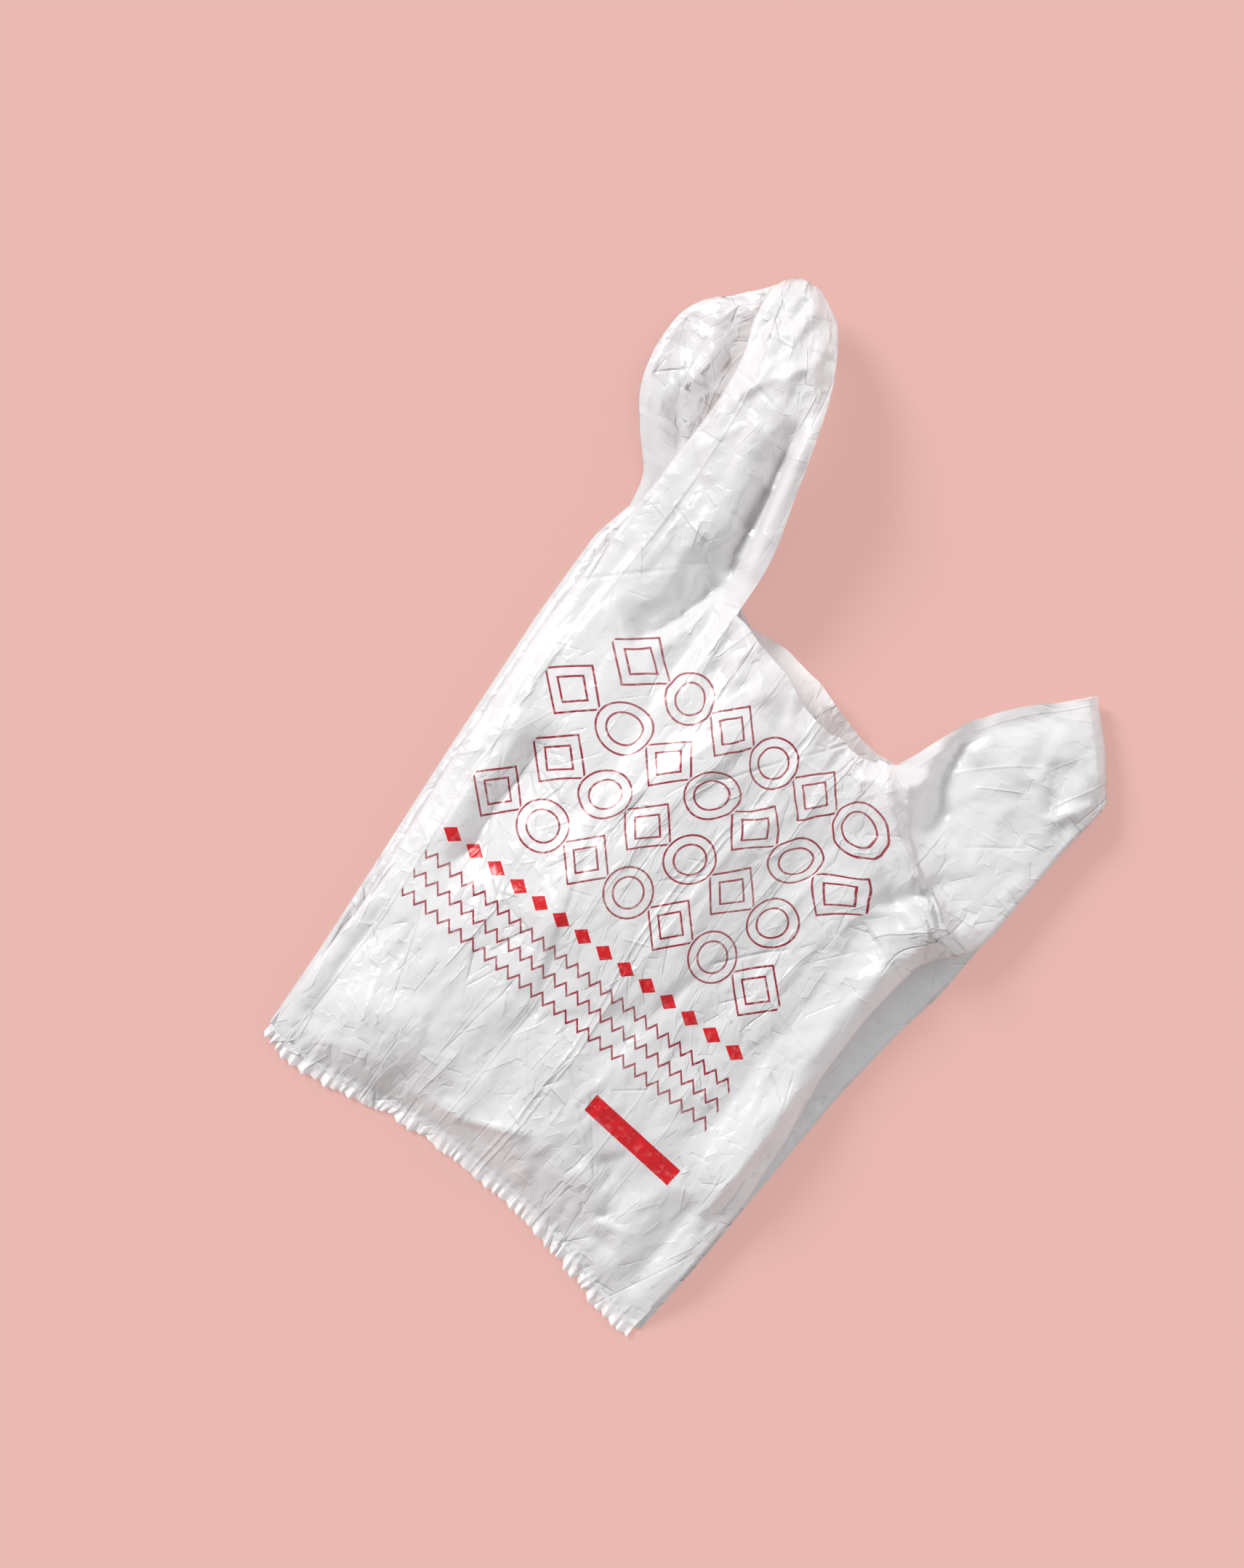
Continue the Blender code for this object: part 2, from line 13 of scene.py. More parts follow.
import bpy
import numpy as np
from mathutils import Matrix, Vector
from mathutils.bvhtree import BVHTree
from mathutils.geometry import delaunay_2d_cdt


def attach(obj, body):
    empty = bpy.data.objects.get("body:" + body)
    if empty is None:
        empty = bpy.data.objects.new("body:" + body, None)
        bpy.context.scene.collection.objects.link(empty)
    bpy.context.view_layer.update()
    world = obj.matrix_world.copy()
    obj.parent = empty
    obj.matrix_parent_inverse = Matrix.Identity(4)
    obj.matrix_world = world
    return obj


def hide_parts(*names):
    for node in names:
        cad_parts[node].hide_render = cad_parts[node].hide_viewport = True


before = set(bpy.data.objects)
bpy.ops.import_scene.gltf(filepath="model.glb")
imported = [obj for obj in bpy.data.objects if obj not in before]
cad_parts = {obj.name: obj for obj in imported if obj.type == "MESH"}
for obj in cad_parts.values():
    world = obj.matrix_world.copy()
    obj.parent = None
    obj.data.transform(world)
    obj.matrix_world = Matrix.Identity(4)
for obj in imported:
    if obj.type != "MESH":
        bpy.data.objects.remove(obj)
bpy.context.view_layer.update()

LEFT = -1
RIGHT = 1
SIDE_NAMES = {LEFT: "left", RIGHT: "right"}
LAYERS = ("front", "back")
MM = 0.001

# The bag's sizes, as in the solid
PANEL_WIDTH = 0.305
GUSSET_DEPTH = 0.089
BODY_LENGTH = 0.384
HANDLE_WIDTH = 0.072
HANDLE_LENGTH = 0.191
SKIRT_LENGTH = 0.0085
FILM = 0.0005
LAYER_STEP = 0.0012
HANDLE_FOLD = 0.0018
TUCK_CLEARANCE = 0.003
FOLD_RISE = 0.020
MIDDLE_RISE = 0.026
GUSSET_SAG = 0.33
FRONT_LEVEL = FILM / 2 + 3 * LAYER_STEP

# From the bag's own axes to the frame's origin
BAG_TO_FRAME = Vector((0.0203, -0.2822, 0))

# Fineness of the sheet
COLUMN_PITCH = 0.0020
ROW_PITCH = 0.0021
BACK_PITCH = 0.004
INNER_SKIP = 3
HEM_SPLIT = 3
HEM_HEIGHT = 0.016
HEM_ROWS = 10
SKIRT_ROWS = 7
TURN_ROWS = 4

# Where the side folds run, as (share of the body's length, shift of the fold along X)
FRONT_LEFT_FOLD = ((0, 0.004), (0.26, 0.004), (0.51, -0.006), (0.77, -0.0125), (1, -0.0115))
FRONT_RIGHT_FOLD = (
    (0, -0.010), (0.13, -0.0055), (0.26, -0.0035), (0.39, -0.0075), (0.5, -0.014),
    (0.62, -0.0145), (0.74, -0.009), (0.79, 0.008), (0.83, 0.0155), (1, 0.0185),
)
BACK_LEFT_FOLD = (
    (0, 0.003), (0.13, 0), (0.26, -0.004), (0.51, -0.0125), (0.77, -0.020), (0.93, -0.022), (1, -0.016),
)
BACK_RIGHT_FOLD = (
    (0, -0.006), (0.14, -0.002), (0.26, -0.0005), (0.49, 0.003), (0.64, 0.009), (0.72, 0.0145),
    (1, 0.019),
)

# The bottom seal, as (share of half the width, how far up it lies)
SEAL_LINE = (
    (-1, 0.014), (-0.93, 0.009), (-0.82, 0.0065), (-0.63, 0.0105), (-0.38, 0.019), (-0.19, 0.0225),
    (0.25, 0.0205), (0.5, 0.0145), (0.63, 0.009), (0.76, 0.004), (0.88, 0.001), (1, 0.002),
)

# The mouth's two cut edges, as (share of the way from the left handle to the right, shift along Y)
FRONT_MOUTH = ((0, 0), (0.4, -0.012), (0.61, -0.023), (0.72, -0.020), (0.85, -0.022), (1, -0.011))
BACK_MOUTH = ((0, 0.008), (0.12, 0), (0.28, 0.003), (0.6, -0.003), (0.8, -0.011), (1, -0.0105))
HANDLE_ROOT_RISE = {LEFT: 0.008, RIGHT: 0.011}
CUT_SHIFT = {LEFT: 0.0055, RIGHT: -0.021}

# How the film stands along the bag, as (share of the body's length, share of the full height)
FOLD_PROFILE = {
    LEFT: ((0, 0), (0.1, 0.55), (0.4, 0.8), (0.8, 1), (1, 1.25)),
    RIGHT: ((0, 0), (0.1, 0.55), (0.4, 0.8), (0.75, 0.9), (1, 0.75)),
}
MIDDLE_PROFILE = ((0, 0), (0.08, 0.4), (0.25, 0.85), (0.5, 1), (0.8, 0.9), (1, 0.65))
MIDDLE_FLATNESS = 0.8

# The handles' edges from the body to the top, as (shift along X, share of the length, height)
FOLD_EDGE = "fold"
CUT_EDGE = "cut"
LEFT_FRONT = {
    FOLD_EDGE: (
        (-0.011, 0.25, 0.034), (-0.011, 0.48, 0.042), (-0.0155, 0.655, 0.046), (-0.024, 0.78, 0.044),
        (-0.027, 0.88, 0.038), (-0.025, 0.935, 0.028),
    ),
    CUT_EDGE: (
        (0.002, 0.20, 0.046), (-0.0095, 0.40, 0.052), (-0.020, 0.575, 0.055), (-0.031, 0.735, 0.052),
        (-0.043, 0.85, 0.044), (-0.054, 0.93, 0.036), (-0.072, 0.985, 0.028),
    ),
}
LEFT_BACK = {
    FOLD_EDGE: (
        (-0.022, 0.19, 0.002), (-0.040, 0.295, 0.003), (-0.056, 0.41, 0.005), (-0.0635, 0.56, 0.007),
        (-0.0615, 0.70, 0.009), (-0.045, 0.81, 0.012), (-0.032, 0.885, 0.015), (-0.0265, 0.925, 0.018),
    ),
    CUT_EDGE: (
        (-0.003, 0.14, 0.002), (-0.024, 0.27, 0.003), (-0.050, 0.42, 0.005), (-0.064, 0.56, 0.008),
        (-0.068, 0.72, 0.011), (-0.068, 0.86, 0.014), (-0.072, 0.945, 0.018),
    ),
}
RIGHT_FRONT = {
    FOLD_EDGE: ((0.0195, 0.08, 0.019), (0.0215, 0.17, 0.019), (0.0225, 0.225, 0.017)),
    CUT_EDGE: (
        (-0.012, 0.08, 0.029), (-0.002, 0.195, 0.030), (0.016, 0.325, 0.028), (0.0345, 0.42, 0.024),
        (0.044, 0.475, 0.019), (0.0465, 0.488, 0.017),
    ),
}
RIGHT_BACK = {
    FOLD_EDGE: ((0.0195, 0.08, 0.001), (0.0215, 0.17, 0.002), (0.0225, 0.23, 0.004)),
    CUT_EDGE: (
        (-0.010, 0.08, 0.001), (0.000, 0.195, 0.001), (0.018, 0.325, 0.002), (0.0355, 0.43, 0.003),
        (0.0465, 0.492, 0.004),
    ),
}
STRAPS = {LEFT: (LEFT_FRONT, LEFT_BACK), RIGHT: (RIGHT_FRONT, RIGHT_BACK)}
STRAP_ARCH = {LEFT: (0.010, 0.004), RIGHT: (0.004, 0.0015)}
STRAP_REACH = {LEFT: 0.205, RIGHT: 0.110}
ROOT_BLEND = 0.4

# Main folds of the front film, as in the solid: points along the fold, each as (share of half the
# width, share of the length), then its height, and its reach on its left and on its right
MAIN_FOLDS = (
    # The long ridge from the mouth to the right side
    (((0.36, 0.96), (0.44, 0.915), (0.60, 0.87), (0.755, 0.825)), 0.012, 0.038, 0.030),
    (((0.755, 0.825), (0.88, 0.795), (1.10, 0.79)), 0.009, 0.032, 0.026),
    # The hollows below the left handle and over the ridge
    (((-0.55, 0.84), (-0.565, 0.965), (-0.575, 1.075)), -0.011, 0.052, 0.012),
    (((0.635, 0.90), (0.57, 0.975), (0.555, 1.07)), -0.006, 0.009, 0.034),
    # The dips along the left side
    (((-0.765, 0.415), (-0.80, 0.69)), -0.005, 0.020, 0.038),
    (((-0.865, 0.055), (-0.90, 0.30)), -0.0045, 0.013, 0.034),
    # The trough and the swell along the right side
    (((0.675, 0.285), (0.68, 0.78)), -0.004, 0.040, 0.022),
    (((0.94, 0.245), (0.94, 0.78)), 0.0035, 0.030, 0.007),
    (((0.825, 0.03), (0.82, 0.23)), -0.0045, 0.018, 0.011),
    # Folds over the seal
    (((-0.30, 0.08), (-0.125, 0.10), (0.125, 0.15)), 0.0045, 0.018, 0.013),
    (((0.565, 0.105), (0.53, 0.155), (0.405, 0.20)), -0.005, 0.015, 0.026),
    # The hollow of the left handle and the curl of its inner edge
    (((-0.605, 1.035), (-0.68, 1.16), (-0.765, 1.30)), -0.009, 0.022, 0.008),
    (((-0.525, 1.03), (-0.615, 1.17), (-0.735, 1.355)), 0.004, 0.009, 0.012),
)

# More folds of the front film, in millimetres: points along the fold, height, reach on its left and on
# its right as one looks along it, and sharpness from 0, a soft swell, to 1, a crease
FRONT_FOLDS = (
    # The panel's broad rise left of its middle, and the shallow trough right of it
    (((-50, 150), (-48, 240), (-38, 345)), 8, 34, 82, 0.5),
    (((58, 130), (62, 230), (64, 320)), -3.5, 46, 40, 0.3),
    # The thin crest of the long ridge, its foot, and what runs off it
    (((55, 369), (60, 357), (67, 351), (77, 344), (91, 333), (106, 324), (115, 317)), 5, 5, 5, 1),
    (((115, 317), (125, 312), (134, 305), (144, 301), (156, 300), (168, 303)), 5, 5, 5, 1),
    (((118, 326), (128, 318), (146, 311)), 2.6, 4, 5, 1),
    (((112, 304), (126, 300), (138, 290)), 2.4, 5, 4, 1),
    (((47, 352), (57, 341), (79, 325), (103, 308), (124, 297)), -4.5, 12, 15, 0.6),
    (((122, 308), (132, 300), (142, 294)), 3, 9, 8, 1),
    (((128, 322), (140, 312), (160, 306)), 2.5, 8, 6, 1),
    (((144, 226), (134, 259), (122, 280), (114, 290)), 2.6, 16, 9, 0.8),
    (((150, 225), (146, 262), (140, 296)), 2.2, 9, 7, 0.8),
    # The hollow over the ridge and the fold that winds up to the right handle
    (((77, 352), (76, 378), (74, 398)), 3, 16, 8, 0.6),
    # The middle fold of the panel and the faint ones beside it
    (((8, 110), (8, 240), (9.5, 300), (9.5, 362)), 1.7, 4, 6, 0.8),
    (((-28, 170), (-28, 330)), 0.6, 4, 4, 0.7),
    (((60, 190), (61, 345)), 0.8, 4, 4, 0.7),
    (((84, 210), (85, 330)), 0.7, 4, 4, 0.7),
    # The dips along the left side
    (((-138, 155), (-141, 262)), 2.5, 10, 12, 0.6),
    (((-154, 150), (-160, 215), (-161, 262)), -3.5, 6, 8, 0.9),
    (((-158, 240), (-164, 290), (-163, 345)), -3.5, 7, 6, 0.9),
    (((-148, 300), (-152, 345), (-150, 385)), -3, 8, 6, 0.9),
    (((-146, 262), (-152, 292), (-150, 322)), 2.5, 5, 7, 1),
    (((-150, 105), (-153, 140), (-152, 170)), 2.4, 5, 6, 1),
    (((-146, 84), (-150, 96)), 2.5, 7, 9, 0.9),
    (((-121, 150), (-117, 178), (-122, 205), (-119, 226), (-126, 252)), -8, 12, 26, 1),
    (((-116, 330), (-102, 366), (-93, 400)), -11, 30, 12, 0.7),
    (((-112, 345), (-104, 372), (-110, 398)), 2.2, 8, 6, 1),
    (((-128, 352), (-118, 366), (-121, 390)), 2.0, 7, 5, 1),
    (((-98, 352), (-92, 372), (-97, 392)), 2.0, 5, 6, 1),
    # The bright swell along the right side
    (((132, 75), (136, 200), (138, 292)), 9, 40, 8, 0.6),
    # Folds over the seal
    (((-106, 13), (-80, 19), (-58, 24), (-46, 30), (-19, 38), (19, 57)), 2.2, 10, 5, 1),
    (((-8, 40), (12, 44), (34, 36)), 2.5, 10, 9, 0.8),
    (((-112, 56), (-92, 62), (-70, 72)), 3.5, 20, 22, 0.4),
    (((52, 60), (66, 56), (84, 44)), 3.5, 16, 12, 0.6),
    (((60, 20), (80, 27), (104, 33)), -3.5, 13, 11, 0.5),
    (((-112, 14), (-92, 32), (-72, 38)), 2.5, 16, 12, 0.5),
    (((-30, 25), (-33, 44)), 2, 6, 8, 0.9),
    # Folds between the mouth and the print
    (((-78, 382), (-58, 376), (-38, 362), (-28, 350)), 3, 10, 12, 0.9),
    (((-52, 385), (-58, 362), (-48, 350)), 2.6, 8, 9, 0.9),
    (((-20, 372), (-8, 352), (4, 345)), 2.4, 9, 8, 0.9),
    (((-62, 345), (-70, 368), (-74, 382)), -2.5, 8, 8, 0.8),
    (((30, 366), (42, 358), (50, 350)), 2.2, 7, 8, 0.9),
    # The left handle: a pressed line, the dark hollow beside its curled edge, and its pleats
    (((-96, 408), (-99, 430), (-103, 452), (-112, 482)), -8, 15, 6, 0.7),
    (((-103, 428), (-106, 442), (-108, 458)), -8, 11, 5, 0.6),
    (((-90, 398), (-97, 428), (-104, 462), (-112, 492)), -4, 9, 3, 0.9),
    (((-137, 345), (-137, 400), (-138, 455)), 0.9, 4, 4, 0.8),
    (((-122, 470), (-117, 458), (-112, 434)), -2.5, 7, 7, 0.9),
    (((-160, 470), (-150, 500), (-150, 520)), 2.6, 12, 9, 0.9),
    (((-160, 478), (-146, 452), (-138, 436)), 2.2, 8, 9, 0.9),
    (((-140, 505), (-132, 530), (-134, 548)), 2.8, 12, 9, 0.8),
    (((-166, 486), (-168, 530), (-160, 552)), -3, 8, 9, 0.8),
    (((-157, 545), (-158, 562)), -5, 6, 8, 0.8),
    (((-176, 538), (-172, 566)), 3.5, 6, 7, 0.9),
    (((-148, 532), (-150, 560)), 3, 8, 7, 0.9),
    # The right handle
    (((97, 350), (97, 366), (84, 386), (83, 405), (90, 424)), -5.5, 12, 7, 0.9),
    (((90, 426), (104, 440), (116, 458)), -3, 8, 14, 0.8),
    (((86, 408), (98, 404)), 3, 5, 8, 1),
    (((128, 416), (121, 440), (122, 458)), -2.4, 14, 9, 0.5),
    (((133, 436), (150, 414), (174, 394)), -5, 18, 12, 0.6),
    (((152, 398), (160, 412), (170, 428)), 3, 7, 6, 1),
    (((154, 408), (166, 416), (176, 424)), 2.6, 10, 7, 0.9),
    (((134, 345), (131, 372), (126, 400)), 1.8, 12, 10, 0.5),
)

# The folds of the left handle's back strap, which shows beside the front one
BACK_STRAP_FOLDS = (
    (((-168, 436), (-184, 452), (-198, 470), (-207, 492)), 4.5, 8, 10, 1),
    (((-160, 440), (-176, 455), (-188, 466), (-192, 480)), -4.5, 6, 8, 1),
    (((-188, 464), (-183, 490), (-180, 512)), 5.5, 8, 5, 1),
    (((-196, 466), (-204, 496), (-201, 520)), -5.5, 7, 6, 0.9),
    (((-182, 500), (-190, 524), (-186, 540)), 4, 7, 6, 1),
    (((-208, 496), (-201, 512), (-196, 528)), 2, 8, 7, 1),
    (((-172, 452), (-168, 470), (-176, 486)), 4, 5, 6, 1),
    (((-212, 528), (-198, 536), (-182, 540)), -3.5, 7, 6, 0.9),
    (((-213, 480), (-214, 508), (-208, 530)), -3, 5, 8, 0.9),
    (((-192, 505), (-197, 530), (-203, 543)), 3, 6, 4, 1),
)
FOLD_END_TAPER = 0.18
FOLD_SHARPNESS = 1.5

# 1 lets the print follow the film's true length over its folds, 0 leaves it on even columns
FILM_SHARE = 0.35

# How far the back panel stands up towards the front one near the mouth, and how far its lip drops
# again. Places are shares of the panel's width and of the body's length
MOUTH_LIFT = 0.027
LIP_DROP = 0.011
LIFT_ACROSS = (0.22, 0.46)
LIFT_ALONG = (0.84, 0.95)
LIP_ALONG = (0.945, 1.0)

# How uneven the mouth's cut edges are: seeds, patches as (size, stretch, height), and where they start
FRONT_WOBBLE_SEED = 31
BACK_WOBBLE_SEED = 32
MOUTH_WOBBLE = (12, 1.0, 2.0)
WOBBLE_ALONG = (0.88, 1)
WOBBLE_INWARD = (0.07, 0.085)

# How much the film crumples, as (x, y, reach, share) spots over the calm share, in millimetres
CALM_SHARE = 0.5
ROUGH_SPOTS = (
    (-120, 395, 50, 0.6), (-55, 372, 45, 0.8), (20, 365, 35, 0.5), (60, 365, 35, 0.6),
    (130, 315, 45, 0.6), (-150, 500, 60, 0.8), (-130, 550, 50, 0.8), (110, 430, 60, 0.5),
    (-150, 200, 40, 0.3), (-20, 45, 55, 0.5), (90, 35, 50, 0.5), (-130, 40, 40, 0.4),
    (140, 150, 45, 0.3), (30, 90, 40, 0.2),
)

# Flat patches between random points, as (seed, size of a patch, stretch along the bag, height), in
# millimetres. The main ones are in the solid too
FIELD_LOW = (-0.85 * PANEL_WIDTH, -0.1 * BODY_LENGTH)
FIELD_HIGH = (0.75 * PANEL_WIDTH, 1.65 * BODY_LENGTH)
MAIN_PATCHES = (11, 36, 2.0, 2.6)
SMALL_PATCHES = ((12, 15, 3.0, 1.5), (13, 8, 2.4, 0.6), (14, 4.5, 1.5, 0.22))
BACK_PATCHES = ((21, 30, 1.2, 2.0), (22, 13, 1.2, 1.4), (23, 7, 1.0, 0.8))

# The hidden layers crumple less: from where at a side fold, and which share of the patches' height
CRUMPLE_FROM_FOLD = 0.012
CRUMPLE_ALONG = (0.02, 0.1)
GUSSET_SHARE = 0.2
BACK_SHARE = 0.35

# Small straight creases strewn over the front film, most of them along the bag
CREASE_SEED = 5
CREASE_LEAN = 0.6
CREASE_COUNT = 500
CREASE_LENGTHS = (0.012, 0.070)
CREASE_HEIGHTS = (0.0003, 0.0013)
CREASE_REACHES = (0.004, 0.009)

# Near a side fold the relief keeps a share of its height, and it dies out at the seal
RELIEF_AT_FOLD = 0.3
RELIEF_FROM_FOLD = 0.014
RELIEF_FROM_SEAL = 0.07

# How finely a list of (place, value) is read, and over how many of its steps a corner is rounded
TABLE_STEPS = 401
ROUNDING_STEPS = 12


def mix(low, high, share):
    return low + (high - low) * share


def smooth(share):
    return share * share * (3 - 2 * share)


def ramp(low, high, place):
    """0 up to low, 1 from high on, and a smooth rise between."""
    return smooth(np.clip((place - low) / (high - low), 0, 1))


def read_off(points, place):
    """The value at a place along a list of (place, value), on a line with rounded corners."""
    start, end = points[0][0], points[-1][0]
    table = np.linspace(start, end, TABLE_STEPS)
    values = np.interp(table, [at for at, _ in points], [value for _, value in points])
    half = ROUNDING_STEPS
    before = 2 * values[0] - values[half:0:-1]
    after = 2 * values[-1] - values[-2 : -half - 2 : -1]
    kernel = np.hanning(2 * half + 3)[1:-1]
    rounded = np.convolve(np.concatenate((before, values, after)), kernel / kernel.sum(), "valid")
    return np.interp(place, table, rounded)


# Relief of the film


def patch_tree(seed, size, stretch):
    """Flat patches between random points with random heights from -1 to 1."""
    rng = random.Random(seed)
    wide, long = FIELD_HIGH[0] - FIELD_LOW[0], FIELD_HIGH[1] - FIELD_LOW[1]
    count = round(wide * long / (size * size * stretch) * MM**-2)
    spots = [Vector((rng.random() * wide, rng.random() * long / stretch)) for _ in range(count)]
    spots += [Vector((x * wide, y * long / stretch)) for x in (0, 1) for y in (0, 1)]
    flat, _, triangles, *_ = delaunay_2d_cdt(spots, [], [], 0, 1e-7)
    corners = [(p.x + FIELD_LOW[0], p.y * stretch + FIELD_LOW[1], rng.uniform(-1, 1)) for p in flat]
    return BVHTree.FromPolygons(corners, triangles)


def patches(layers, x, y):
    """The summed height of layers of patches at an array of places."""
    total = np.zeros(x.size)
    down = Vector((0, 0, -1))
    for seed, size, stretch, height in layers:
        tree = patch_tree(seed, size, stretch)
        for index, (over, up) in enumerate(zip(x.ravel(), y.ravel())):
            hit = tree.ray_cast(Vector((over, up, 2)), down)[0]
            if hit is not None:
                total[index] += height * MM * hit.z
    return total.reshape(x.shape)


def fold_height_at(x, y, points, height, left, right, sharpness):
    """One fold along a line of points, all in metres."""
    nearest = np.full(x.shape, np.inf)
    closeness = np.zeros(x.shape)
    along = np.zeros(x.shape)
    lengths = [math.dist(a, b) for a, b in zip(points, points[1:])]
    done = 0
    for (start, end), length in zip(zip(points, points[1:]), lengths):
        run_x, run_y = end[0] - start[0], end[1] - start[1]
        share = np.clip(((x - start[0]) * run_x + (y - start[1]) * run_y) / length**2, 0, 1)
        away_x, away_y = x - start[0] - share * run_x, y - start[1] - share * run_y
        away = np.hypot(away_x, away_y)
        on_left = run_x * away_y - run_y * away_x > 0
        better = away < nearest
        nearest = np.where(better, away, nearest)
        closeness = np.where(better, 1 - away / np.where(on_left, left, right), closeness)
        along = np.where(better, (done + share * length) / sum(lengths), along)
        done += length
    closeness = np.clip(closeness, 0, 1)
    taper = ramp(0, FOLD_END_TAPER, np.minimum(along, 1 - along) + FOLD_END_TAPER / 4)
    return height * taper * mix(smooth(closeness), closeness**FOLD_SHARPNESS, sharpness)


def named_folds(folds, x, y):
    total = np.zeros(x.shape)
    for points, height, left, right, sharpness in folds:
        metres = [(a * MM, b * MM) for a, b in points]
        total += fold_height_at(x, y, metres, height * MM, left * MM, right * MM, sharpness)
    return total


def small_creases(x, y):
    """Straight creases at random places."""
    rng = random.Random(CREASE_SEED)
    total = np.zeros(x.shape)
    for _ in range(CREASE_COUNT):
        middle = (rng.uniform(FIELD_LOW[0], FIELD_HIGH[0]), rng.uniform(0, FIELD_HIGH[1]))
        lean = rng.gauss(0, CREASE_LEAN)
        half = rng.uniform(*CREASE_LENGTHS) / 2
        reach_x, reach_y = half * math.sin(lean), half * math.cos(lean)
        points = ((middle[0] - reach_x, middle[1] - reach_y), (middle[0] + reach_x, middle[1] + reach_y))
        height = rng.uniform(*CREASE_HEIGHTS) * rng.choice((-1, 1))
        left, right = rng.uniform(*CREASE_REACHES), rng.uniform(*CREASE_REACHES)
        total += fold_height_at(x, y, points, height, left, right, 1)
    return total


def roughness(x, y):
    """How much the film crumples at a place, from the calm share up."""
    total = np.full(x.shape, CALM_SHARE)
    for spot_x, spot_y, reach, share in ROUGH_SPOTS:
        away = np.hypot(x - spot_x * MM, y - spot_y * MM) / (reach * MM)
        total += share * np.exp(-away * away)
    return total


def main_relief(x, y):
    """The folds and the patches that the solid has too."""
    total = patches((MAIN_PATCHES,), x, y)
    for shares, height, left, right in MAIN_FOLDS:
        points = [(a * PANEL_WIDTH / 2, b * BODY_LENGTH) for a, b in shares]
        total += fold_height_at(x, y, points, height, left, right, 1)
    return total


def front_relief(x, y, from_fold):
    crumple = (patches(SMALL_PATCHES, x, y) + small_creases(x, y)) * roughness(x, y)
    near_fold = mix(RELIEF_AT_FOLD, 1, ramp(0, RELIEF_FROM_FOLD, from_fold))
    return (main_relief(x, y) + named_folds(FRONT_FOLDS, x, y) + crumple) * near_fold


# The panels


def cut_x(side):
    return side * (PANEL_WIDTH / 2 - HANDLE_WIDTH) + CUT_SHIFT[side]


def spread(place, left, right, up):
    """X of a column between the panel's folds. Towards the mouth it gathers between the handles."""
    even = mix(left, right, place / PANEL_WIDTH)
    at_left = mix(left, cut_x(LEFT), place / HANDLE_WIDTH)
    at_right = mix(cut_x(RIGHT), right, 1 - (PANEL_WIDTH - place) / HANDLE_WIDTH)
    share = (place - HANDLE_WIDTH) / (PANEL_WIDTH - 2 * HANDLE_WIDTH)
    between = mix(cut_x(LEFT), cut_x(RIGHT), share)
    gathered = np.where(share < 0, at_left, np.where(share > 1, at_right, between))
    return mix(even, gathered, smooth(up))


def top_y(place, mouth):
    """Y of a column's upper end: the mouth's edge, or the line where a handle begins."""
    share = (place - HANDLE_WIDTH) / (PANEL_WIDTH - 2 * HANDLE_WIDTH)
    left_rise = HANDLE_ROOT_RISE[LEFT] * smooth(1 - place / HANDLE_WIDTH)
    right_rise = HANDLE_ROOT_RISE[RIGHT] * smooth(1 - (PANEL_WIDTH - place) / HANDLE_WIDTH)
    rise = np.where(share < 0, left_rise, np.where(share > 1, right_rise, 0))
    return BODY_LENGTH + read_off(mouth, np.clip(share, 0, 1)) + rise


def column_y(place, x, up, mouth):
    seal = read_off(SEAL_LINE, np.clip(x / (PANEL_WIDTH / 2), -1, 1))
    return mix(seal, top_y(place, mouth), up)


def fold_height(side, up):
    return FOLD_RISE * read_off(FOLD_PROFILE[side], up)


def stack(x, y, z):
    return np.stack(np.broadcast_arrays(x, y, z), axis=-1)


def keep_off_floor(points):
    points[..., 2] = np.maximum(points[..., 2], FILM / 2)


def front_panel(place, up):
    """The front panel without its relief, as an array of points."""
    left = -PANEL_WIDTH / 2 + read_off(FRONT_LEFT_FOLD, up)
    right = PANEL_WIDTH / 2 + read_off(FRONT_RIGHT_FOLD, up)
    x = spread(place, left, right, up)
    y = column_y(place, x, up, FRONT_MOUTH)
    share = np.clip(place / PANEL_WIDTH, 0, 1)
    folds = mix(fold_height(LEFT, up), fold_height(RIGHT, up), smooth(share))
    crown = np.abs(np.sin(np.pi * share)) ** MIDDLE_FLATNESS
    middle = MIDDLE_RISE * read_off(MIDDLE_PROFILE, up) * crown
    return stack(x, y, FRONT_LEVEL + folds + middle)


def back_panel(place, up):
    left = -PANEL_WIDTH / 2 + read_off(BACK_LEFT_FOLD, up)
    right = PANEL_WIDTH / 2 + read_off(BACK_RIGHT_FOLD, up)
    x = spread(place, left, right, up)
    return stack(x, column_y(place, x, up, BACK_MOUTH), FILM / 2)


def even_places(width, pitch):
    steps = round(width / pitch)
    return np.linspace(0, width, steps + 1)


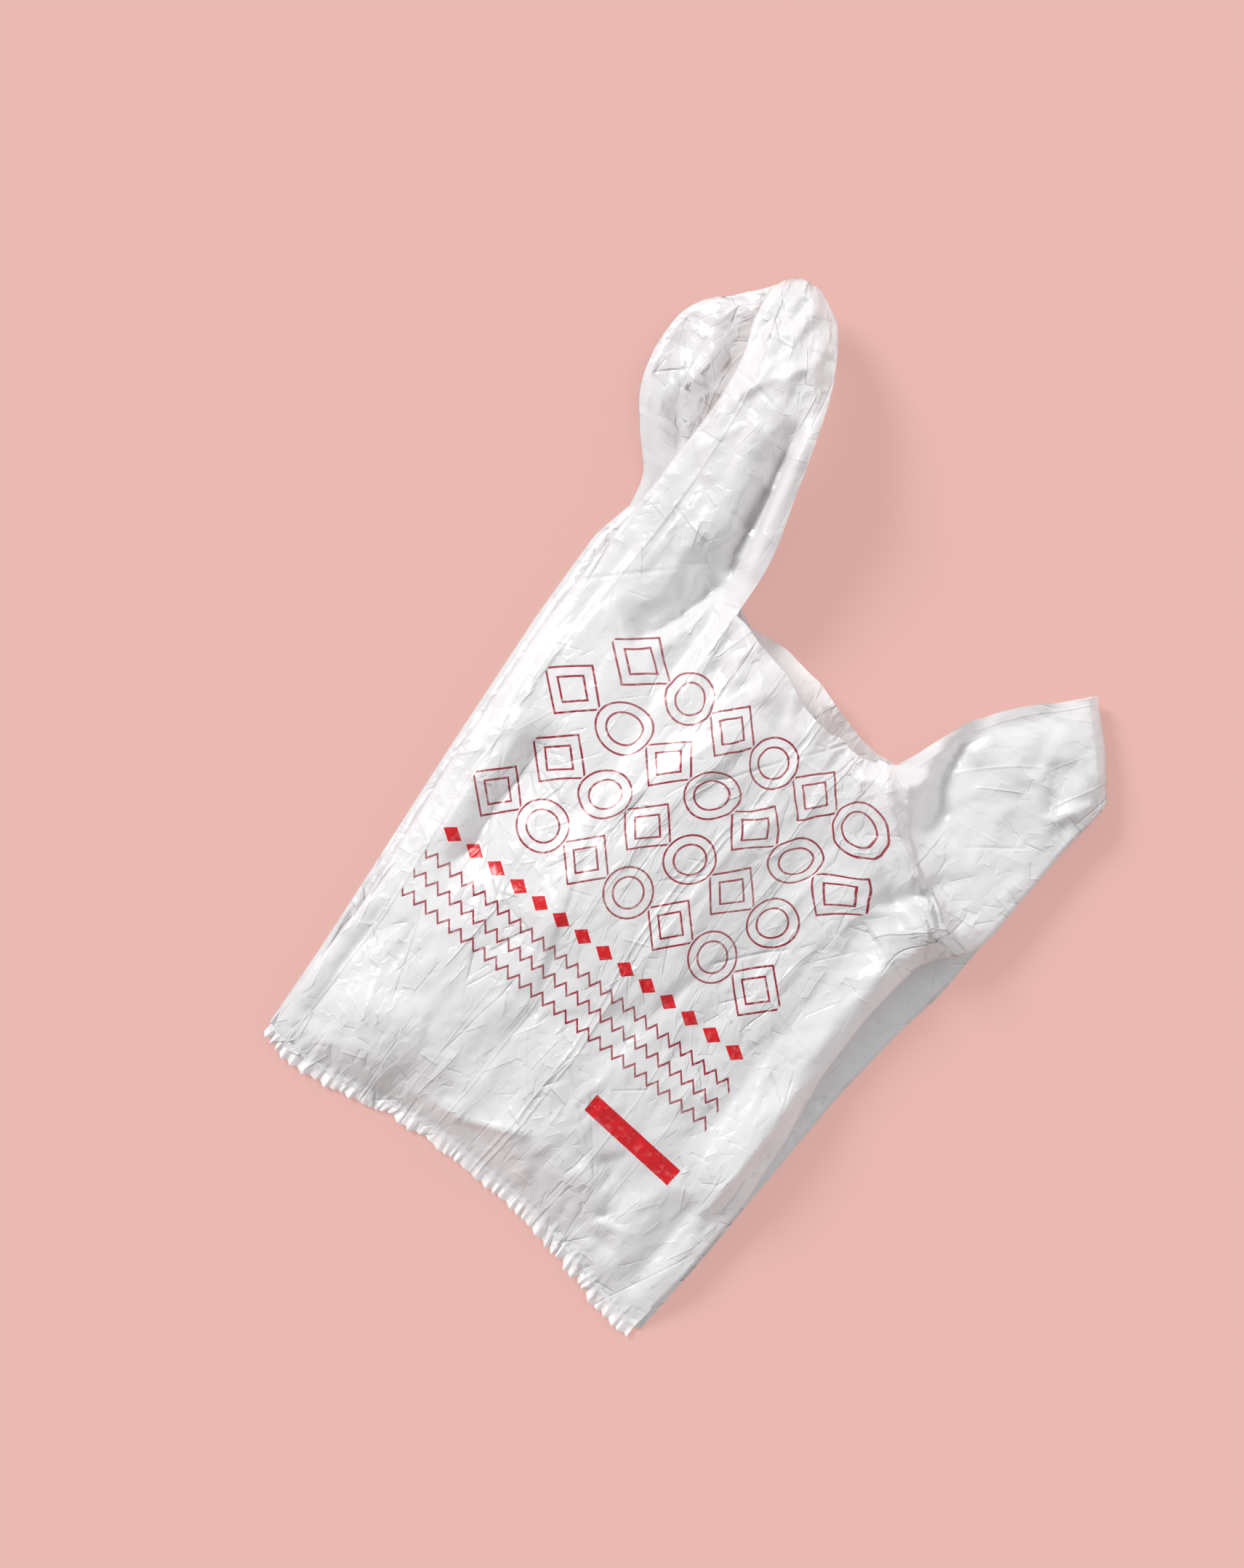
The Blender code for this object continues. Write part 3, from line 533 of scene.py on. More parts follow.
def gusset_ply(side, layer, tucks, up, start_z):
    """One layer of a gusset, from its side fold in to the tuck. start_z is the side fold's height."""
    panel = front_panel if layer == "front" else back_panel
    fold, beside, tuck = [
        at if side == LEFT else PANEL_WIDTH - at for at in (np.zeros(1), tucks, np.array([GUSSET_DEPTH]))
    ]
    start = panel(fold, up)
    step = LAYER_STEP if layer == "back" else -LAYER_STEP
    tuck_x = (front_panel(tuck, up)[..., 0] + back_panel(tuck, up)[..., 0]) / 2 + side * TUCK_CLEARANCE
    middle_y = (front_panel(beside, up)[..., 1] + back_panel(beside, up)[..., 1]) / 2
    tuck_z = FILM / 2 + 1.5 * LAYER_STEP - step / 2 + GUSSET_SAG * fold_height(side, up)
    share = tucks / GUSSET_DEPTH
    x = mix(start[..., 0], tuck_x, share)
    y = mix(panel(beside, up)[..., 1], middle_y, share)
    z = mix(start_z + step, tuck_z, share)
    ripple = np.abs(patches(BACK_PATCHES, x, y)) * ramp(0, CRUMPLE_FROM_FOLD, tucks)
    ripple *= ramp(*CRUMPLE_ALONG, up) * (1 if layer == "back" else GUSSET_SHARE)
    return stack(x, y, z + ripple)


# Building the sheet


class Sheet:
    """Collects the film's points and faces, each corner with its place on the flat film."""

    def __init__(self):
        self.points = []
        self.faces = []
        self.places = []

    def add(self, points):
        first = len(self.points)
        self.points.extend(tuple(point) for point in points)
        return list(range(first, len(self.points)))

    def face(self, corners, places):
        self.faces.append(tuple(corners))
        self.places.extend(places)

    def join(self, low, high, low_places, high_places, first=0, last=None):
        """Four-sided faces between two rows, from column first to column last."""
        for index in range(first, len(low) - 1 if last is None else last):
            after = index + 1
            self.face(
                (low[index], low[after], high[after], high[index]),
                (low_places[index], low_places[after], high_places[after], high_places[index]),
            )

    def mesh(self, name):
        used = sorted({corner for face in self.faces for corner in face})
        renumbered = {old: new for new, old in enumerate(used)}
        mesh = bpy.data.meshes.new(name)
        faces = [tuple(renumbered[corner] for corner in face) for face in self.faces]
        mesh.from_pydata([self.points[index] for index in used], [], faces)
        layer = mesh.uv_layers.new(name="film_place")
        layer.data.foreach_set("uv", np.array(self.places, dtype=np.float32).ravel())
        return mesh


def ring_places(front_places, tucks, back_places):
    """How far round the flat tube each point of a row lies, and once more the first point at the end."""
    width, depth = PANEL_WIDTH, GUSSET_DEPTH
    runs = (
        front_places,
        width + tucks,
        width + 2 * depth - tucks[::-1],
        2 * width + 2 * depth - back_places[::-1],
        2 * width + 2 * depth + tucks,
        2 * width + 4 * depth - tucks[::-1],
        [2 * width + 4 * depth],
    )
    return np.concatenate(runs) - width / 2


def film_across(points):
    """The places across a row of film after its relief took some of its width, as shares of its width."""
    steps = np.linalg.norm(np.diff(points, axis=-2), axis=-1)
    reached = np.concatenate((np.zeros(steps.shape[:-1] + (1,)), np.cumsum(steps, axis=-1)), axis=-1)
    return reached / reached[..., -1:]


def body_rows():
    length = even_places(BODY_LENGTH - HEM_HEIGHT, ROW_PITCH) + HEM_HEIGHT
    return np.concatenate(([0, HEM_HEIGHT / 2], length))[:, None] / BODY_LENGTH


def panel_places(pitch):
    """Places across a panel: fine ones at the handles, and this far apart between them."""
    side = even_places(HANDLE_WIDTH, COLUMN_PITCH)
    middle = even_places(PANEL_WIDTH - 2 * HANDLE_WIDTH, pitch) + HANDLE_WIDTH
    return np.concatenate((side, middle[1:-1], PANEL_WIDTH - side[::-1]))


def make_body(sheet):
    """The tube from the seal to the mouth. Gives back its top row, that row's points and the hem's rows."""
    places = panel_places(COLUMN_PITCH)
    back_places = panel_places(BACK_PITCH)
    at_handle = even_places(HANDLE_WIDTH, COLUMN_PITCH)[::INNER_SKIP]
    tucks = np.append(at_handle, [mix(HANDLE_WIDTH, GUSSET_DEPTH, 0.5), GUSSET_DEPTH])
    up = body_rows()

    front = front_panel(places, up)
    from_fold = np.minimum(places, PANEL_WIDTH - places) + np.zeros(up.shape)
    relief = front_relief(front[..., 0], front[..., 1], from_fold) * ramp(0, RELIEF_FROM_SEAL, up)
    front[..., 2] += relief
    front[..., 2] = np.maximum(front[..., 2], FRONT_LEVEL)
    back = back_panel(back_places, up)
    from_side = np.minimum(back_places, PANEL_WIDTH - back_places) + np.zeros(up.shape)
    wave = np.abs(patches(BACK_PATCHES, back[..., 0], back[..., 1]))
    in_mouth = ramp(*LIFT_ACROSS, from_side / PANEL_WIDTH) * ramp(*LIFT_ALONG, up)
    calm = ramp(0, CRUMPLE_FROM_FOLD, from_side) * mix(BACK_SHARE, 1, in_mouth)
    lift = MOUTH_LIFT - LIP_DROP * ramp(*LIP_ALONG, up)
    back[..., 2] += wave * calm + lift * in_mouth
    for panel, seed, inward in ((front, FRONT_WOBBLE_SEED, from_fold), (back, BACK_WOBBLE_SEED, from_side)):
        wobble = patches(((seed, *MOUTH_WOBBLE),), panel[..., 0], panel[..., 1])
        panel[..., 1] += wobble * ramp(*WOBBLE_ALONG, up) * ramp(*WOBBLE_INWARD, inward)

    runs = {"front": front, "back": back}
    for side, name in SIDE_NAMES.items():
        for layer in LAYERS:
            start_z = runs[layer][:, 0 if side == LEFT else -1, 2][:, None]
            runs[f"{name}_{layer}"] = gusset_ply(side, layer, tucks, up, start_z)

    across = mix(places, film_across(front) * PANEL_WIDTH, FILM_SHARE)
    round_tube = ring_places(places, tucks, back_places)
    rows = []
    for row in range(len(up)):
        ids = {name: sheet.add(points[row]) for name, points in runs.items()}
        order = (
            ids["front"] + ids["right_front"] + ids["right_back"][::-1]
            + ids["back"][::-1] + ids["left_back"] + ids["left_front"][::-1] + ids["front"][:1]
        )
        places_here = [(u, up[row, 0] * BODY_LENGTH) for u in round_tube]
        for column, point in enumerate(front[row]):
            places_here[column] = (across[row, column] - PANEL_WIDTH / 2, point[1])
        rows.append((ids, order, places_here))
    hem_row = 2
    for index in range(len(rows) - 1):
        low, high = rows[index], rows[index + 1]
        first = len(places) - 1 if index < hem_row else 0
        sheet.join(low[1], high[1], low[2], high[2], first=first)
    tops = {name: points[-1] for name, points in runs.items()}
    return rows[-1], tops, rows[hem_row], front[: hem_row + 1]


# The hem: the film just over the seal and the ruffled skirt below it

# Lengths in metres. The ruffles and their slow sway are waves whose steps lie between two lengths each.
# Every ruffle has its own share of the full height and its own reach over the seal
RUFFLE_SEED = 8
RUFFLE_PITCH = (0.0026, 0.0100)
RUFFLE_HEIGHT = 0.0021
RUFFLE_SHARES = (0.1, 1.2)
RUFFLE_REACHES = (0.3, 1.5)
PUCKER_HEIGHT = 0.0016
SWAY_PITCH = (0.012, 0.040)
RUFFLE_LEAN = 0.003
SEAL_HEIGHT = 0.0022
SEAL_RIDGE = 0.0008
# How far over the seal the puckers reach, as a share of the hem's height, and how deep they may go
PUCKER_REACH = 0.30
PUCKER_FLOOR = -0.4
# From where to where over the seal the puckers set in and its ridge ends, as shares of the hem's height
PUCKER_START = (0.02, 0.2)
RIDGE_END = 0.08
# The ruffles' share of height at the seal and again at the cut edge, how far that edge sinks in metres,
# and how long and how uneven the skirt is, as shares of its length
GATHER_AT_SEAL = 0.35
GATHER_AT_EDGE = 0.8
EDGE_DROP = 0.0004
EDGE_MIDDLE = 0.9
EDGE_WAVE = 0.18
EDGE_SWAY = 0.16
# How strong the ruffles are, as (share of half the width, strength)
RUFFLE_STRENGTH = (
    (-1, 1.5), (-0.8, 1.3), (-0.6, 1.0), (-0.3, 0.8), (0.1, 0.6), (0.35, 0.9), (0.55, 1.4), (0.75, 1.2),
    (0.9, 0.6), (1, 0.4),
)


def ruffles(x, seed, pitch):
    """For each x: a wave from -1 to 1 with uneven steps, and how far up this ruffle reaches."""
    rng = random.Random(seed)
    knots, heights, reaches = [x.min() - 0.01], [0], [1]
    while knots[-1] < x.max() + 0.01:
        knots.append(knots[-1] + rng.uniform(*pitch) / 2)
        sign = 1 if len(knots) % 2 else -1
        heights.append(sign * rng.uniform(*RUFFLE_SHARES))
        reaches.append(rng.uniform(*RUFFLE_REACHES))
    return np.interp(x, knots, heights), np.interp(x, knots, reaches)


def make_hem(sheet, hem_row, low_front):
    """The front film from the hem row down over the seal to the skirt's cut edge, on finer columns."""
    ids, _, places = hem_row
    count = len(low_front[-1])
    fine_places = np.linspace(0, count - 1, (count - 1) * HEM_SPLIT + 1)
    low, middle, start = [
        np.stack([np.interp(fine_places, range(count), row[:, axis]) for axis in range(3)], axis=-1)
        for row in low_front
    ]
    across = np.interp(fine_places, range(count), [places[column][0] for column in range(count)])
    x = low[:, 0]
    wave, reach = ruffles(x, RUFFLE_SEED, RUFFLE_PITCH)
    slow, _ = ruffles(x, RUFFLE_SEED + 1, SWAY_PITCH)
    strength = read_off(RUFFLE_STRENGTH, np.clip(x / (PANEL_WIDTH / 2), -1, 1))

    rows = []
    for row in range(1, HEM_ROWS + 1):
        share = row / HEM_ROWS
        drop = 1 - share
        point = start * drop**2 + 2 * middle * share * drop + low * share**2
        point[:, 2] = mix(point[:, 2], SEAL_HEIGHT, share**3)
        leant = np.interp(x + RUFFLE_LEAN * slow * drop, x, wave)
        pucker = np.exp(-((drop / (PUCKER_REACH * reach)) ** 2)) * ramp(*PUCKER_START, drop)
        point[:, 2] += PUCKER_HEIGHT * np.maximum(leant, PUCKER_FLOOR) * strength * pucker
        point[:, 2] += SEAL_RIDGE * ramp(RIDGE_END, 0, drop)
        rows.append(point)
    for row in range(1, SKIRT_ROWS + 1):
        share = row / SKIRT_ROWS
        point = low.copy()
        leant = np.interp(x - RUFFLE_LEAN * slow * share, x, wave)
        gather = RUFFLE_HEIGHT * strength * mix(GATHER_AT_SEAL, 1, smooth(share))
        edge = EDGE_MIDDLE + (EDGE_WAVE * leant * strength + EDGE_SWAY * slow) * share
        point[:, 1] -= SKIRT_LENGTH * share * edge
        gather *= (leant + 0.5) * mix(1, GATHER_AT_EDGE, share)
        point[:, 2] = SEAL_HEIGHT + gather - EDGE_DROP * share
        keep_off_floor(point)
        rows.append(point)

    top_places = list(zip(across, start[:, 1]))
    below = sheet.add(start)
    for column in range(count - 1):
        first = column * HEM_SPLIT
        below[first] = ids["front"][column]
        below[first + HEM_SPLIT] = ids["front"][column + 1]
    for point in rows:
        row_ids = sheet.add(point)
        row_places = list(zip(across, point[:, 1]))
        sheet.join(row_ids, below, row_places, top_places)
        below, top_places = row_ids, row_places


# Handles

# From where on a back strap crumples, with which share of the patches, and how far it lies off the floor
BACK_STRAP_FROM = 0.25
BACK_STRAP_SHARE = 0.9
BACK_STRAP_LIFT = {LEFT: 0.0028, RIGHT: 0.0008}
TURN_ROUNDNESS = 2.2


def along(points, share):
    """A point at a share of the way along a line of points, rounded at its corners."""
    lengths = np.concatenate(([0], np.cumsum(np.linalg.norm(np.diff(points, axis=0), axis=1))))
    reach = share * lengths[-1]
    index = min(int(np.searchsorted(lengths, reach, side="right")) - 1, len(points) - 2)
    start, end = points[index], points[index + 1]
    before = points[index - 1] if index else start * 2 - end
    after = points[index + 2] if index + 2 < len(points) else end * 2 - start
    t = (reach - lengths[index]) / (lengths[index + 1] - lengths[index])
    return 0.5 * (
        start * 2
        + (end - before) * t
        + (before * 2 - start * 5 + end * 4 - after) * t**2
        + (start * 3 - before - end * 3 + after) * t**3
    )


def strap_edge(side, strap, edge, root):
    """A strap's edge as points: its root on the body, then the points given for it."""
    base = side * PANEL_WIDTH / 2 if edge == FOLD_EDGE else side * (PANEL_WIDTH / 2 - HANDLE_WIDTH)
    points = [root]
    for shift, share, height in strap[edge]:
        points.append((base + shift, BODY_LENGTH + share * HANDLE_LENGTH, FILM / 2 + height))
    return np.array(points, dtype=float)


def strap_rows(side, strap, root, arch):
    """Rows across one strap, from next to the body up to the handle's top, each from fold to cut."""
    fold = strap_edge(side, strap, FOLD_EDGE, root[0])
    cut = strap_edge(side, strap, CUT_EDGE, root[-1])
    across = np.linspace(0, 1, len(root))[:, None]
    count = round(STRAP_REACH[side] / ROW_PITCH)
    rows = []
    for row in range(1, count + 1):
        share = row / count
        settle = (root - mix(root[0], root[-1], across)) * (1 - smooth(share))
        lift = arch * math.sin(math.pi * share / 2) * np.sin(np.pi * across)
        points = mix(along(fold, share), along(cut, share), across) + settle
        points[:, 2] += lift[:, 0]
        rows.append(points)
    return np.array(rows)


def unit(vectors):
    return vectors / np.maximum(np.linalg.norm(vectors, axis=-1, keepdims=True), 1e-9)


def turn_rows(front, back):
    """The film's turn on top of a handle, from the front strap over to the back one."""
    onward = unit(unit(front[-1] - front[-3]) + unit(back[-1] - back[-3]))
    drop = np.linalg.norm(front[-1] - back[-1], axis=-1, keepdims=True)
    rows = []
    for row in range(1, TURN_ROWS + 1):
        share = row / (TURN_ROWS + 1)
        out = onward * drop / TURN_ROUNDNESS * math.sin(math.pi * share)
        rows.append(mix(front[-1], back[-1], share) + out)
    return np.array(rows)


def inner_layer(rows, side, roots):
    """The gusset's layer inside a band of rows. Its ends meet the body's gusset."""
    onward = unit(np.gradient(rows, axis=0))
    sideways = unit(np.gradient(rows, axis=1))
    inward = unit(np.cross(onward, sideways)) * -side * HANDLE_FOLD
    inward[:, 0] += sideways[:, 0] * HANDLE_FOLD / 2
    count = len(rows)
    inner = rows + inward
    blend = round(ROOT_BLEND * count / 2)
    for index in range(1, count - 1):
        near = min(index, count - 1 - index)
        if near < blend:
            outer_root, root = (rows[0], roots[0]) if index < count / 2 else (rows[-1], roots[1])
            hold = (1 - near / blend) ** 2
            inner[index] = rows[index] + mix(inward[index], root - outer_root, hold)
    return inner


def make_handle(sheet, side, top_row, tops, smooth_tops):
    """A band of two layers, folded at its outer side, from the front of the body over to the back."""
    ids, _, _ = top_row
    name = SIDE_NAMES[side]
    width = round(HANDLE_WIDTH / COLUMN_PITCH) + 1
    inner_width = (width - 1) // INNER_SKIP + 1
    pick = slice(0, width) if side == LEFT else slice(None, -width - 1, -1)
    panels, roots, smooth_roots = [
        {layer: source[layer][pick] for layer in LAYERS} for source in (ids, tops, smooth_tops)
    ]
    tucks = {layer: ids[f"{name}_{layer}"][:inner_width] for layer in LAYERS}
    tuck_roots = [tops[f"{name}_{layer}"][:inner_width] for layer in LAYERS]

    front, back = STRAPS[side]
    front_arch, back_arch = STRAP_ARCH[side]
    up_rows = strap_rows(side, front, smooth_roots["front"], front_arch)
    down_rows = strap_rows(side, back, smooth_roots["back"], back_arch)
    from_fold = np.linspace(0, HANDLE_WIDTH, width) + np.zeros((len(up_rows), 1))
    up_rows[..., 2] += front_relief(up_rows[..., 0], up_rows[..., 1], from_fold)
    down_relief = patches(BACK_PATCHES, down_rows[..., 0], down_rows[..., 1])
    rise = ramp(0, BACK_STRAP_FROM, np.linspace(0, 1, len(down_rows)))[:, None]
    down_rows[..., 2] += (down_relief * BACK_STRAP_SHARE + BACK_STRAP_LIFT[side]) * rise
    if side == LEFT:
        folds = named_folds(BACK_STRAP_FOLDS, down_rows[..., 0], down_rows[..., 1])
        down_rows[..., 2] += folds * rise
    keep_off_floor(down_rows)
    turn = turn_rows(up_rows, down_rows)
    keep_off_floor(turn)
    band = np.concatenate((roots["front"][None], up_rows, turn, down_rows[::-1], roots["back"][None]))
    inner = inner_layer(band[:, ::INNER_SKIP], side, tuck_roots)
    keep_off_floor(inner)

    fold_u = side * PANEL_WIDTH / 2
    outer_u = fold_u - side * np.linspace(0, HANDLE_WIDTH, width)
    inner_u = fold_u + side * np.linspace(0, HANDLE_WIDTH, inner_width)
    row_u = np.concatenate((outer_u[::-1], inner_u))
    steps = np.linalg.norm(np.diff(band[:, width // 2], axis=0), axis=-1)
    row_v = BODY_LENGTH + np.concatenate(([0], np.cumsum(steps)))
    below = (panels["front"][::-1] + tucks["front"])[::side]
    below_places = [(u, row_v[0]) for u in row_u[::side]]
    last = len(band) - 1
    for index in range(1, last + 1):
        if index < last:
            row = sheet.add(np.concatenate((band[index][::-1], inner[index]))[::side])
        else:
            row = (panels["back"][::-1] + tucks["back"])[::side]
        places = [(u, row_v[index]) for u in row_u[::side]]
        sheet.join(below, row, below_places, places)
        below, below_places = row, places


def new_object(name, data):
    thing = bpy.data.objects.new(name, data)
    bpy.context.scene.collection.objects.link(thing)
    return thing


def make_bag():
    sheet = Sheet()
    top_row, tops, hem_row, low_front = make_body(sheet)
    make_hem(sheet, hem_row, low_front)
    smooth_tops = {
        "front": front_panel(panel_places(COLUMN_PITCH), np.ones((1, 1)))[0],
        "back": back_panel(panel_places(BACK_PITCH), np.ones((1, 1)))[0],
    }
    make_handle(sheet, LEFT, top_row, tops, smooth_tops)
    make_handle(sheet, RIGHT, top_row, tops, smooth_tops)
    mesh = sheet.mesh("film")
    for vertex in mesh.vertices:
        vertex.co += BAG_TO_FRAME
    mesh.shade_smooth()
    mesh.materials.append(film_material())
    return new_object("bag_film", mesh)


# The film's material and its print


def feed(node, inputs):
    """Gives a shader node's inputs a number or a colour each, or a link from a term or a socket."""
    for name, value in inputs.items():
        if isinstance(value, Term):
            value = value.socket
        if isinstance(value, bpy.types.NodeSocket):
            node.id_data.links.new(value, node.inputs[name])
        else:
            node.inputs[name].default_value = value


def new_node(tree, kind, inputs, **options):
    node = tree.nodes.new("ShaderNode" + kind)
    for name, value in options.items():
        setattr(node, name, value)
    feed(node, inputs)
    return node


def blend(tree, share, first, second):
    """Makes a mix of two shaders the surface of a material."""
    both = new_node(tree, "MixShader", {"Fac": share, 1: first.outputs[0], 2: second.outputs[0]})
    feed(tree.nodes["Material Output"], {"Surface": both.outputs[0]})


class Term:
    """A number in a node tree, so that a pattern reads as plain arithmetic."""

    def __init__(self, tree, socket):
        self.tree = tree
        self.socket = socket

    def math(self, operation, *others, clamp=False):
        inputs = dict(enumerate((self, *others)))
        node = new_node(self.tree, "Math", inputs, operation=operation, use_clamp=clamp)
        return Term(self.tree, node.outputs[0])

    __add__ = partialmethod(math, "ADD")
    __sub__ = partialmethod(math, "SUBTRACT")
    __mul__ = partialmethod(math, "MULTIPLY")
    __truediv__ = partialmethod(math, "DIVIDE")
    __abs__ = partialmethod(math, "ABSOLUTE")
    lowest = partialmethod(math, "MINIMUM")
    highest = partialmethod(math, "MAXIMUM")
    clamped = partialmethod(math, "ADD", 0.0, clamp=True)


def split(tree, vector):
    """The X and the Y of a vector."""
    parts = new_node(tree, "SeparateXYZ", {"Vector": vector})
    return Term(tree, parts.outputs["X"]), Term(tree, parts.outputs["Y"])


def noise(tree, place, scale, detail):
    node = new_node(tree, "TexNoise", {"Vector": place, "Scale": scale, "Detail": detail})
    return Term(tree, node.outputs["Fac"])


def varied(tree, place, scale, detail, low, gain, least):
    """A share that varies over the film in soft spots, from least to 1."""
    return ((noise(tree, place, scale, detail) - low) * gain).clamped() * (1 - least) + least


def inked(distance, half_width):
    """1 within half_width of a line and 0 beyond it, with a soft edge."""
    return ((abs(distance) * -1 + half_width) / INK_EDGE).math("ADD", 0.5, clamp=True)


# Straight lines pressed into the film along the bag, as (place across, half width, height), in metres
PRESSED_LINES = (
    (0.0078, 0.0016, 0.0006), (0.0122, 0.0014, 0.0005), (-0.0275, 0.0012, 0.0003), (0.0600, 0.0012, 0.0003),
    (-0.0560, 0.0010, 0.0002), (0.0850, 0.0010, 0.0002), (-0.1370, 0.0014, 0.0004),
)

# Sharp creases at known places on the front panel, in millimetres: the points of each line, half the
# width and the height of its crest
DRAWN_CREASES = (
    (((57, 367), (77, 344), (106, 324), (134, 305), (168, 303)), 2.6, 1.6),
    (((112, 326), (134, 312), (166, 309)), 1.6, 1.0),
    (((116, 310), (146, 289)), 1.6, 1.0),
)
# A crease's share of height at its very end, how fast it gains the rest, and how far it runs past its end
DRAWN_AT_END = 0.2
DRAWN_GAIN = 6
DRAWN_PAST_END = 0.03

# The strewn creases: the spread of their angles in radians, then as shares of a cell how far their ends
# fade and how far the soft fold around each crest reaches, that fold's slope, and the way a seed moves
# the cells
CREASE_TURN = 3.6
CREASE_ENDS = 0.16
CREASE_SPREAD = 0.45
CREASE_TILT = 0.16
SEED_SHIFT = (1, 0.61, 0)

# Layers of strewn creases, as (cells in a metre, stretch along the bag, half the width of a crest as a
# share of a cell, its height in metres, seed)
STREWN = (
    (15, 2.6, 0.016, 0.0012, 5.3), (32, 2.2, 0.03, 0.0010, 3.1),
    (68, 1.8, 0.05, 0.0007, 7.7), (140, 1.4, 0.08, 0.00032, 1.9),
)

# What varies over the film, as (spots in a metre, detail, darkest noise, gain, least share)
CALM = (16, 2, 0.36, 4, 0.2)
WEAR = (260, 3, 0.36, 9, 0.75)
FADE = (14, 1, 0.35, 4, 0.85)
MOTTLE = (55, 3)

WHITE = (0.92, 0.92, 0.93, 1)
PALE = (0.955, 0.95, 0.955, 1)
DARK_RED = (0.36, 0.001, 0.024, 1)
RED = (0.80, 0.006, 0.014, 1)
RED_WEAR = 0.3
TRANSLUCENT_SHARE = 0.26

# The print, in metres on the flat film: u from the panel's middle, v from the seal
INK_EDGE = 0.0003
LINE = 0.00062
MOTIF_LEFT, MOTIF_LOW = -0.136, 0.192
MOTIF_WIDTH, MOTIF_HEIGHT = 0.0346, 0.0385
MOTIF_COLUMNS, MOTIF_ROWS = 7, 4
RING_SIZES = (0.0158, 0.0098)
DIAMOND_SIZES = (0.0130, 0.0072)
LOZENGE_V, LOZENGE_PITCH, LOZENGE_HALF = 0.1735, 0.0173, (0.0068, 0.0052)
ZIGZAG_V, ZIGZAG_STEP, ZIGZAG_ROWS = 0.1215, 0.0135, 3
ZIGZAG_PITCH, ZIGZAG_HEIGHT = 0.0092, 0.0062
PRINT_LEFT, PRINT_RIGHT = -0.136, 0.106
BAR_LEFT, BAR_RIGHT, BAR_V, BAR_SLOPE, BAR_HALF = 0.0375, 0.1075, 0.0964, -0.088, 0.0061


def between(value, low, high):
    middle, half = (low + high) / 2, (high - low) / 2
    return inked(value - middle, half)


def cell_of(value):
    """The number of a cell, and the place in it from -0.5 to 0.5."""
    number = value.math("FLOOR")
    return number, value - number - 0.5


def one_of(number, count):
    return number.math("GREATER_THAN", -0.5) * number.math("LESS_THAN", count - 0.5)


def motif_print(u, v):
    """Rows of nested rings and diamonds by turns, every other row set half a motif along."""
    row, up = cell_of((v - MOTIF_LOW) / MOTIF_HEIGHT)
    odd = row.math("FLOORED_MODULO", 2.0)
    column, over = cell_of((u - MOTIF_LEFT) / MOTIF_WIDTH + odd * 0.5)
    a, b = over * MOTIF_WIDTH, up * MOTIF_HEIGHT
    away = (a * a + b * b).math("SQRT")
    rings = inked(away - RING_SIZES[0], LINE).highest(inked(away - RING_SIZES[1], LINE))
    slant = (abs(a) + abs(b)) * math.sqrt(0.5)
    diamonds = inked(slant - DIAMOND_SIZES[0], LINE).highest(inked(slant - DIAMOND_SIZES[1], LINE))
    turn = (column + row).math("FLOORED_MODULO", 2.0)
    motifs = rings * turn + diamonds * (turn * -1 + 1)
    in_columns = (column - odd).math("GREATER_THAN", -0.5) * column.math("LESS_THAN", MOTIF_COLUMNS - 0.5)
    return motifs * in_columns * one_of(row, MOTIF_ROWS)


def lozenge_print(u, v):
    _, over = cell_of((u - PRINT_LEFT) / LOZENGE_PITCH)
    reach = abs(over * LOZENGE_PITCH) / LOZENGE_HALF[0] + abs(v - LOZENGE_V) / LOZENGE_HALF[1]
    return inked(reach * LOZENGE_HALF[1], LOZENGE_HALF[1]) * between(u, PRINT_LEFT, PRINT_RIGHT)


def zigzag_print(u, v):
    _, over = cell_of(u / ZIGZAG_PITCH)
    wave = (abs(over) * 2 - 0.5) * ZIGZAG_HEIGHT
    row, up = cell_of((v - ZIGZAG_V) / ZIGZAG_STEP)
    slant = 1 / math.hypot(1, 2 * ZIGZAG_HEIGHT / ZIGZAG_PITCH)
    lines = inked((up * ZIGZAG_STEP - wave) * slant, LINE)
    return lines * one_of(row, ZIGZAG_ROWS) * between(u, PRINT_LEFT, PRINT_RIGHT)


def bar_print(u, v):
    middle = (u - BAR_LEFT) * BAR_SLOPE + BAR_V
    return inked(v - middle, BAR_HALF) * between(u, BAR_LEFT, BAR_RIGHT)


def strewn_creases(tree, place, cells, stretch, width, depth, seed):
    """One straight crease to a cell, each at its own angle and strength. Height in metres."""
    shift = [seed * step for step in SEED_SHIFT]
    inputs = {"Vector": place, "Scale": (cells, cells / stretch, 1), "Location": shift}
    shaped = new_node(tree, "Mapping", inputs).outputs["Vector"]
    inputs = {"Vector": shaped, "Scale": 1}
    cell = new_node(tree, "TexVoronoi", inputs, voronoi_dimensions="2D")
    rim = new_node(tree, "TexVoronoi", inputs, voronoi_dimensions="2D", feature="DISTANCE_TO_EDGE")
    offset = new_node(tree, "VectorMath", {0: shaped, 1: cell.outputs["Position"]}, operation="SUBTRACT")
    over, up = split(tree, offset.outputs["Vector"])
    chance = new_node(tree, "SeparateColor", {"Color": cell.outputs["Color"]})
    turn = (Term(tree, chance.outputs["Red"]) - 0.5) * CREASE_TURN
    away = over * turn.math("COSINE") + up * turn.math("SINE")
    strength = (Term(tree, chance.outputs["Green"]) - 0.5) * 2
    ends = (Term(tree, rim.outputs["Distance"]) / CREASE_ENDS).clamped()
    fold = crest(away, CREASE_SPREAD) * (CREASE_SPREAD / cells * CREASE_TILT)
    return (fold + crest(away, width) * depth) * strength * ends


def crest(away, half):
    """1 on a line and 0 from half its width on, straight between."""
    return (abs(away) * (-1 / half) + 1).clamped()


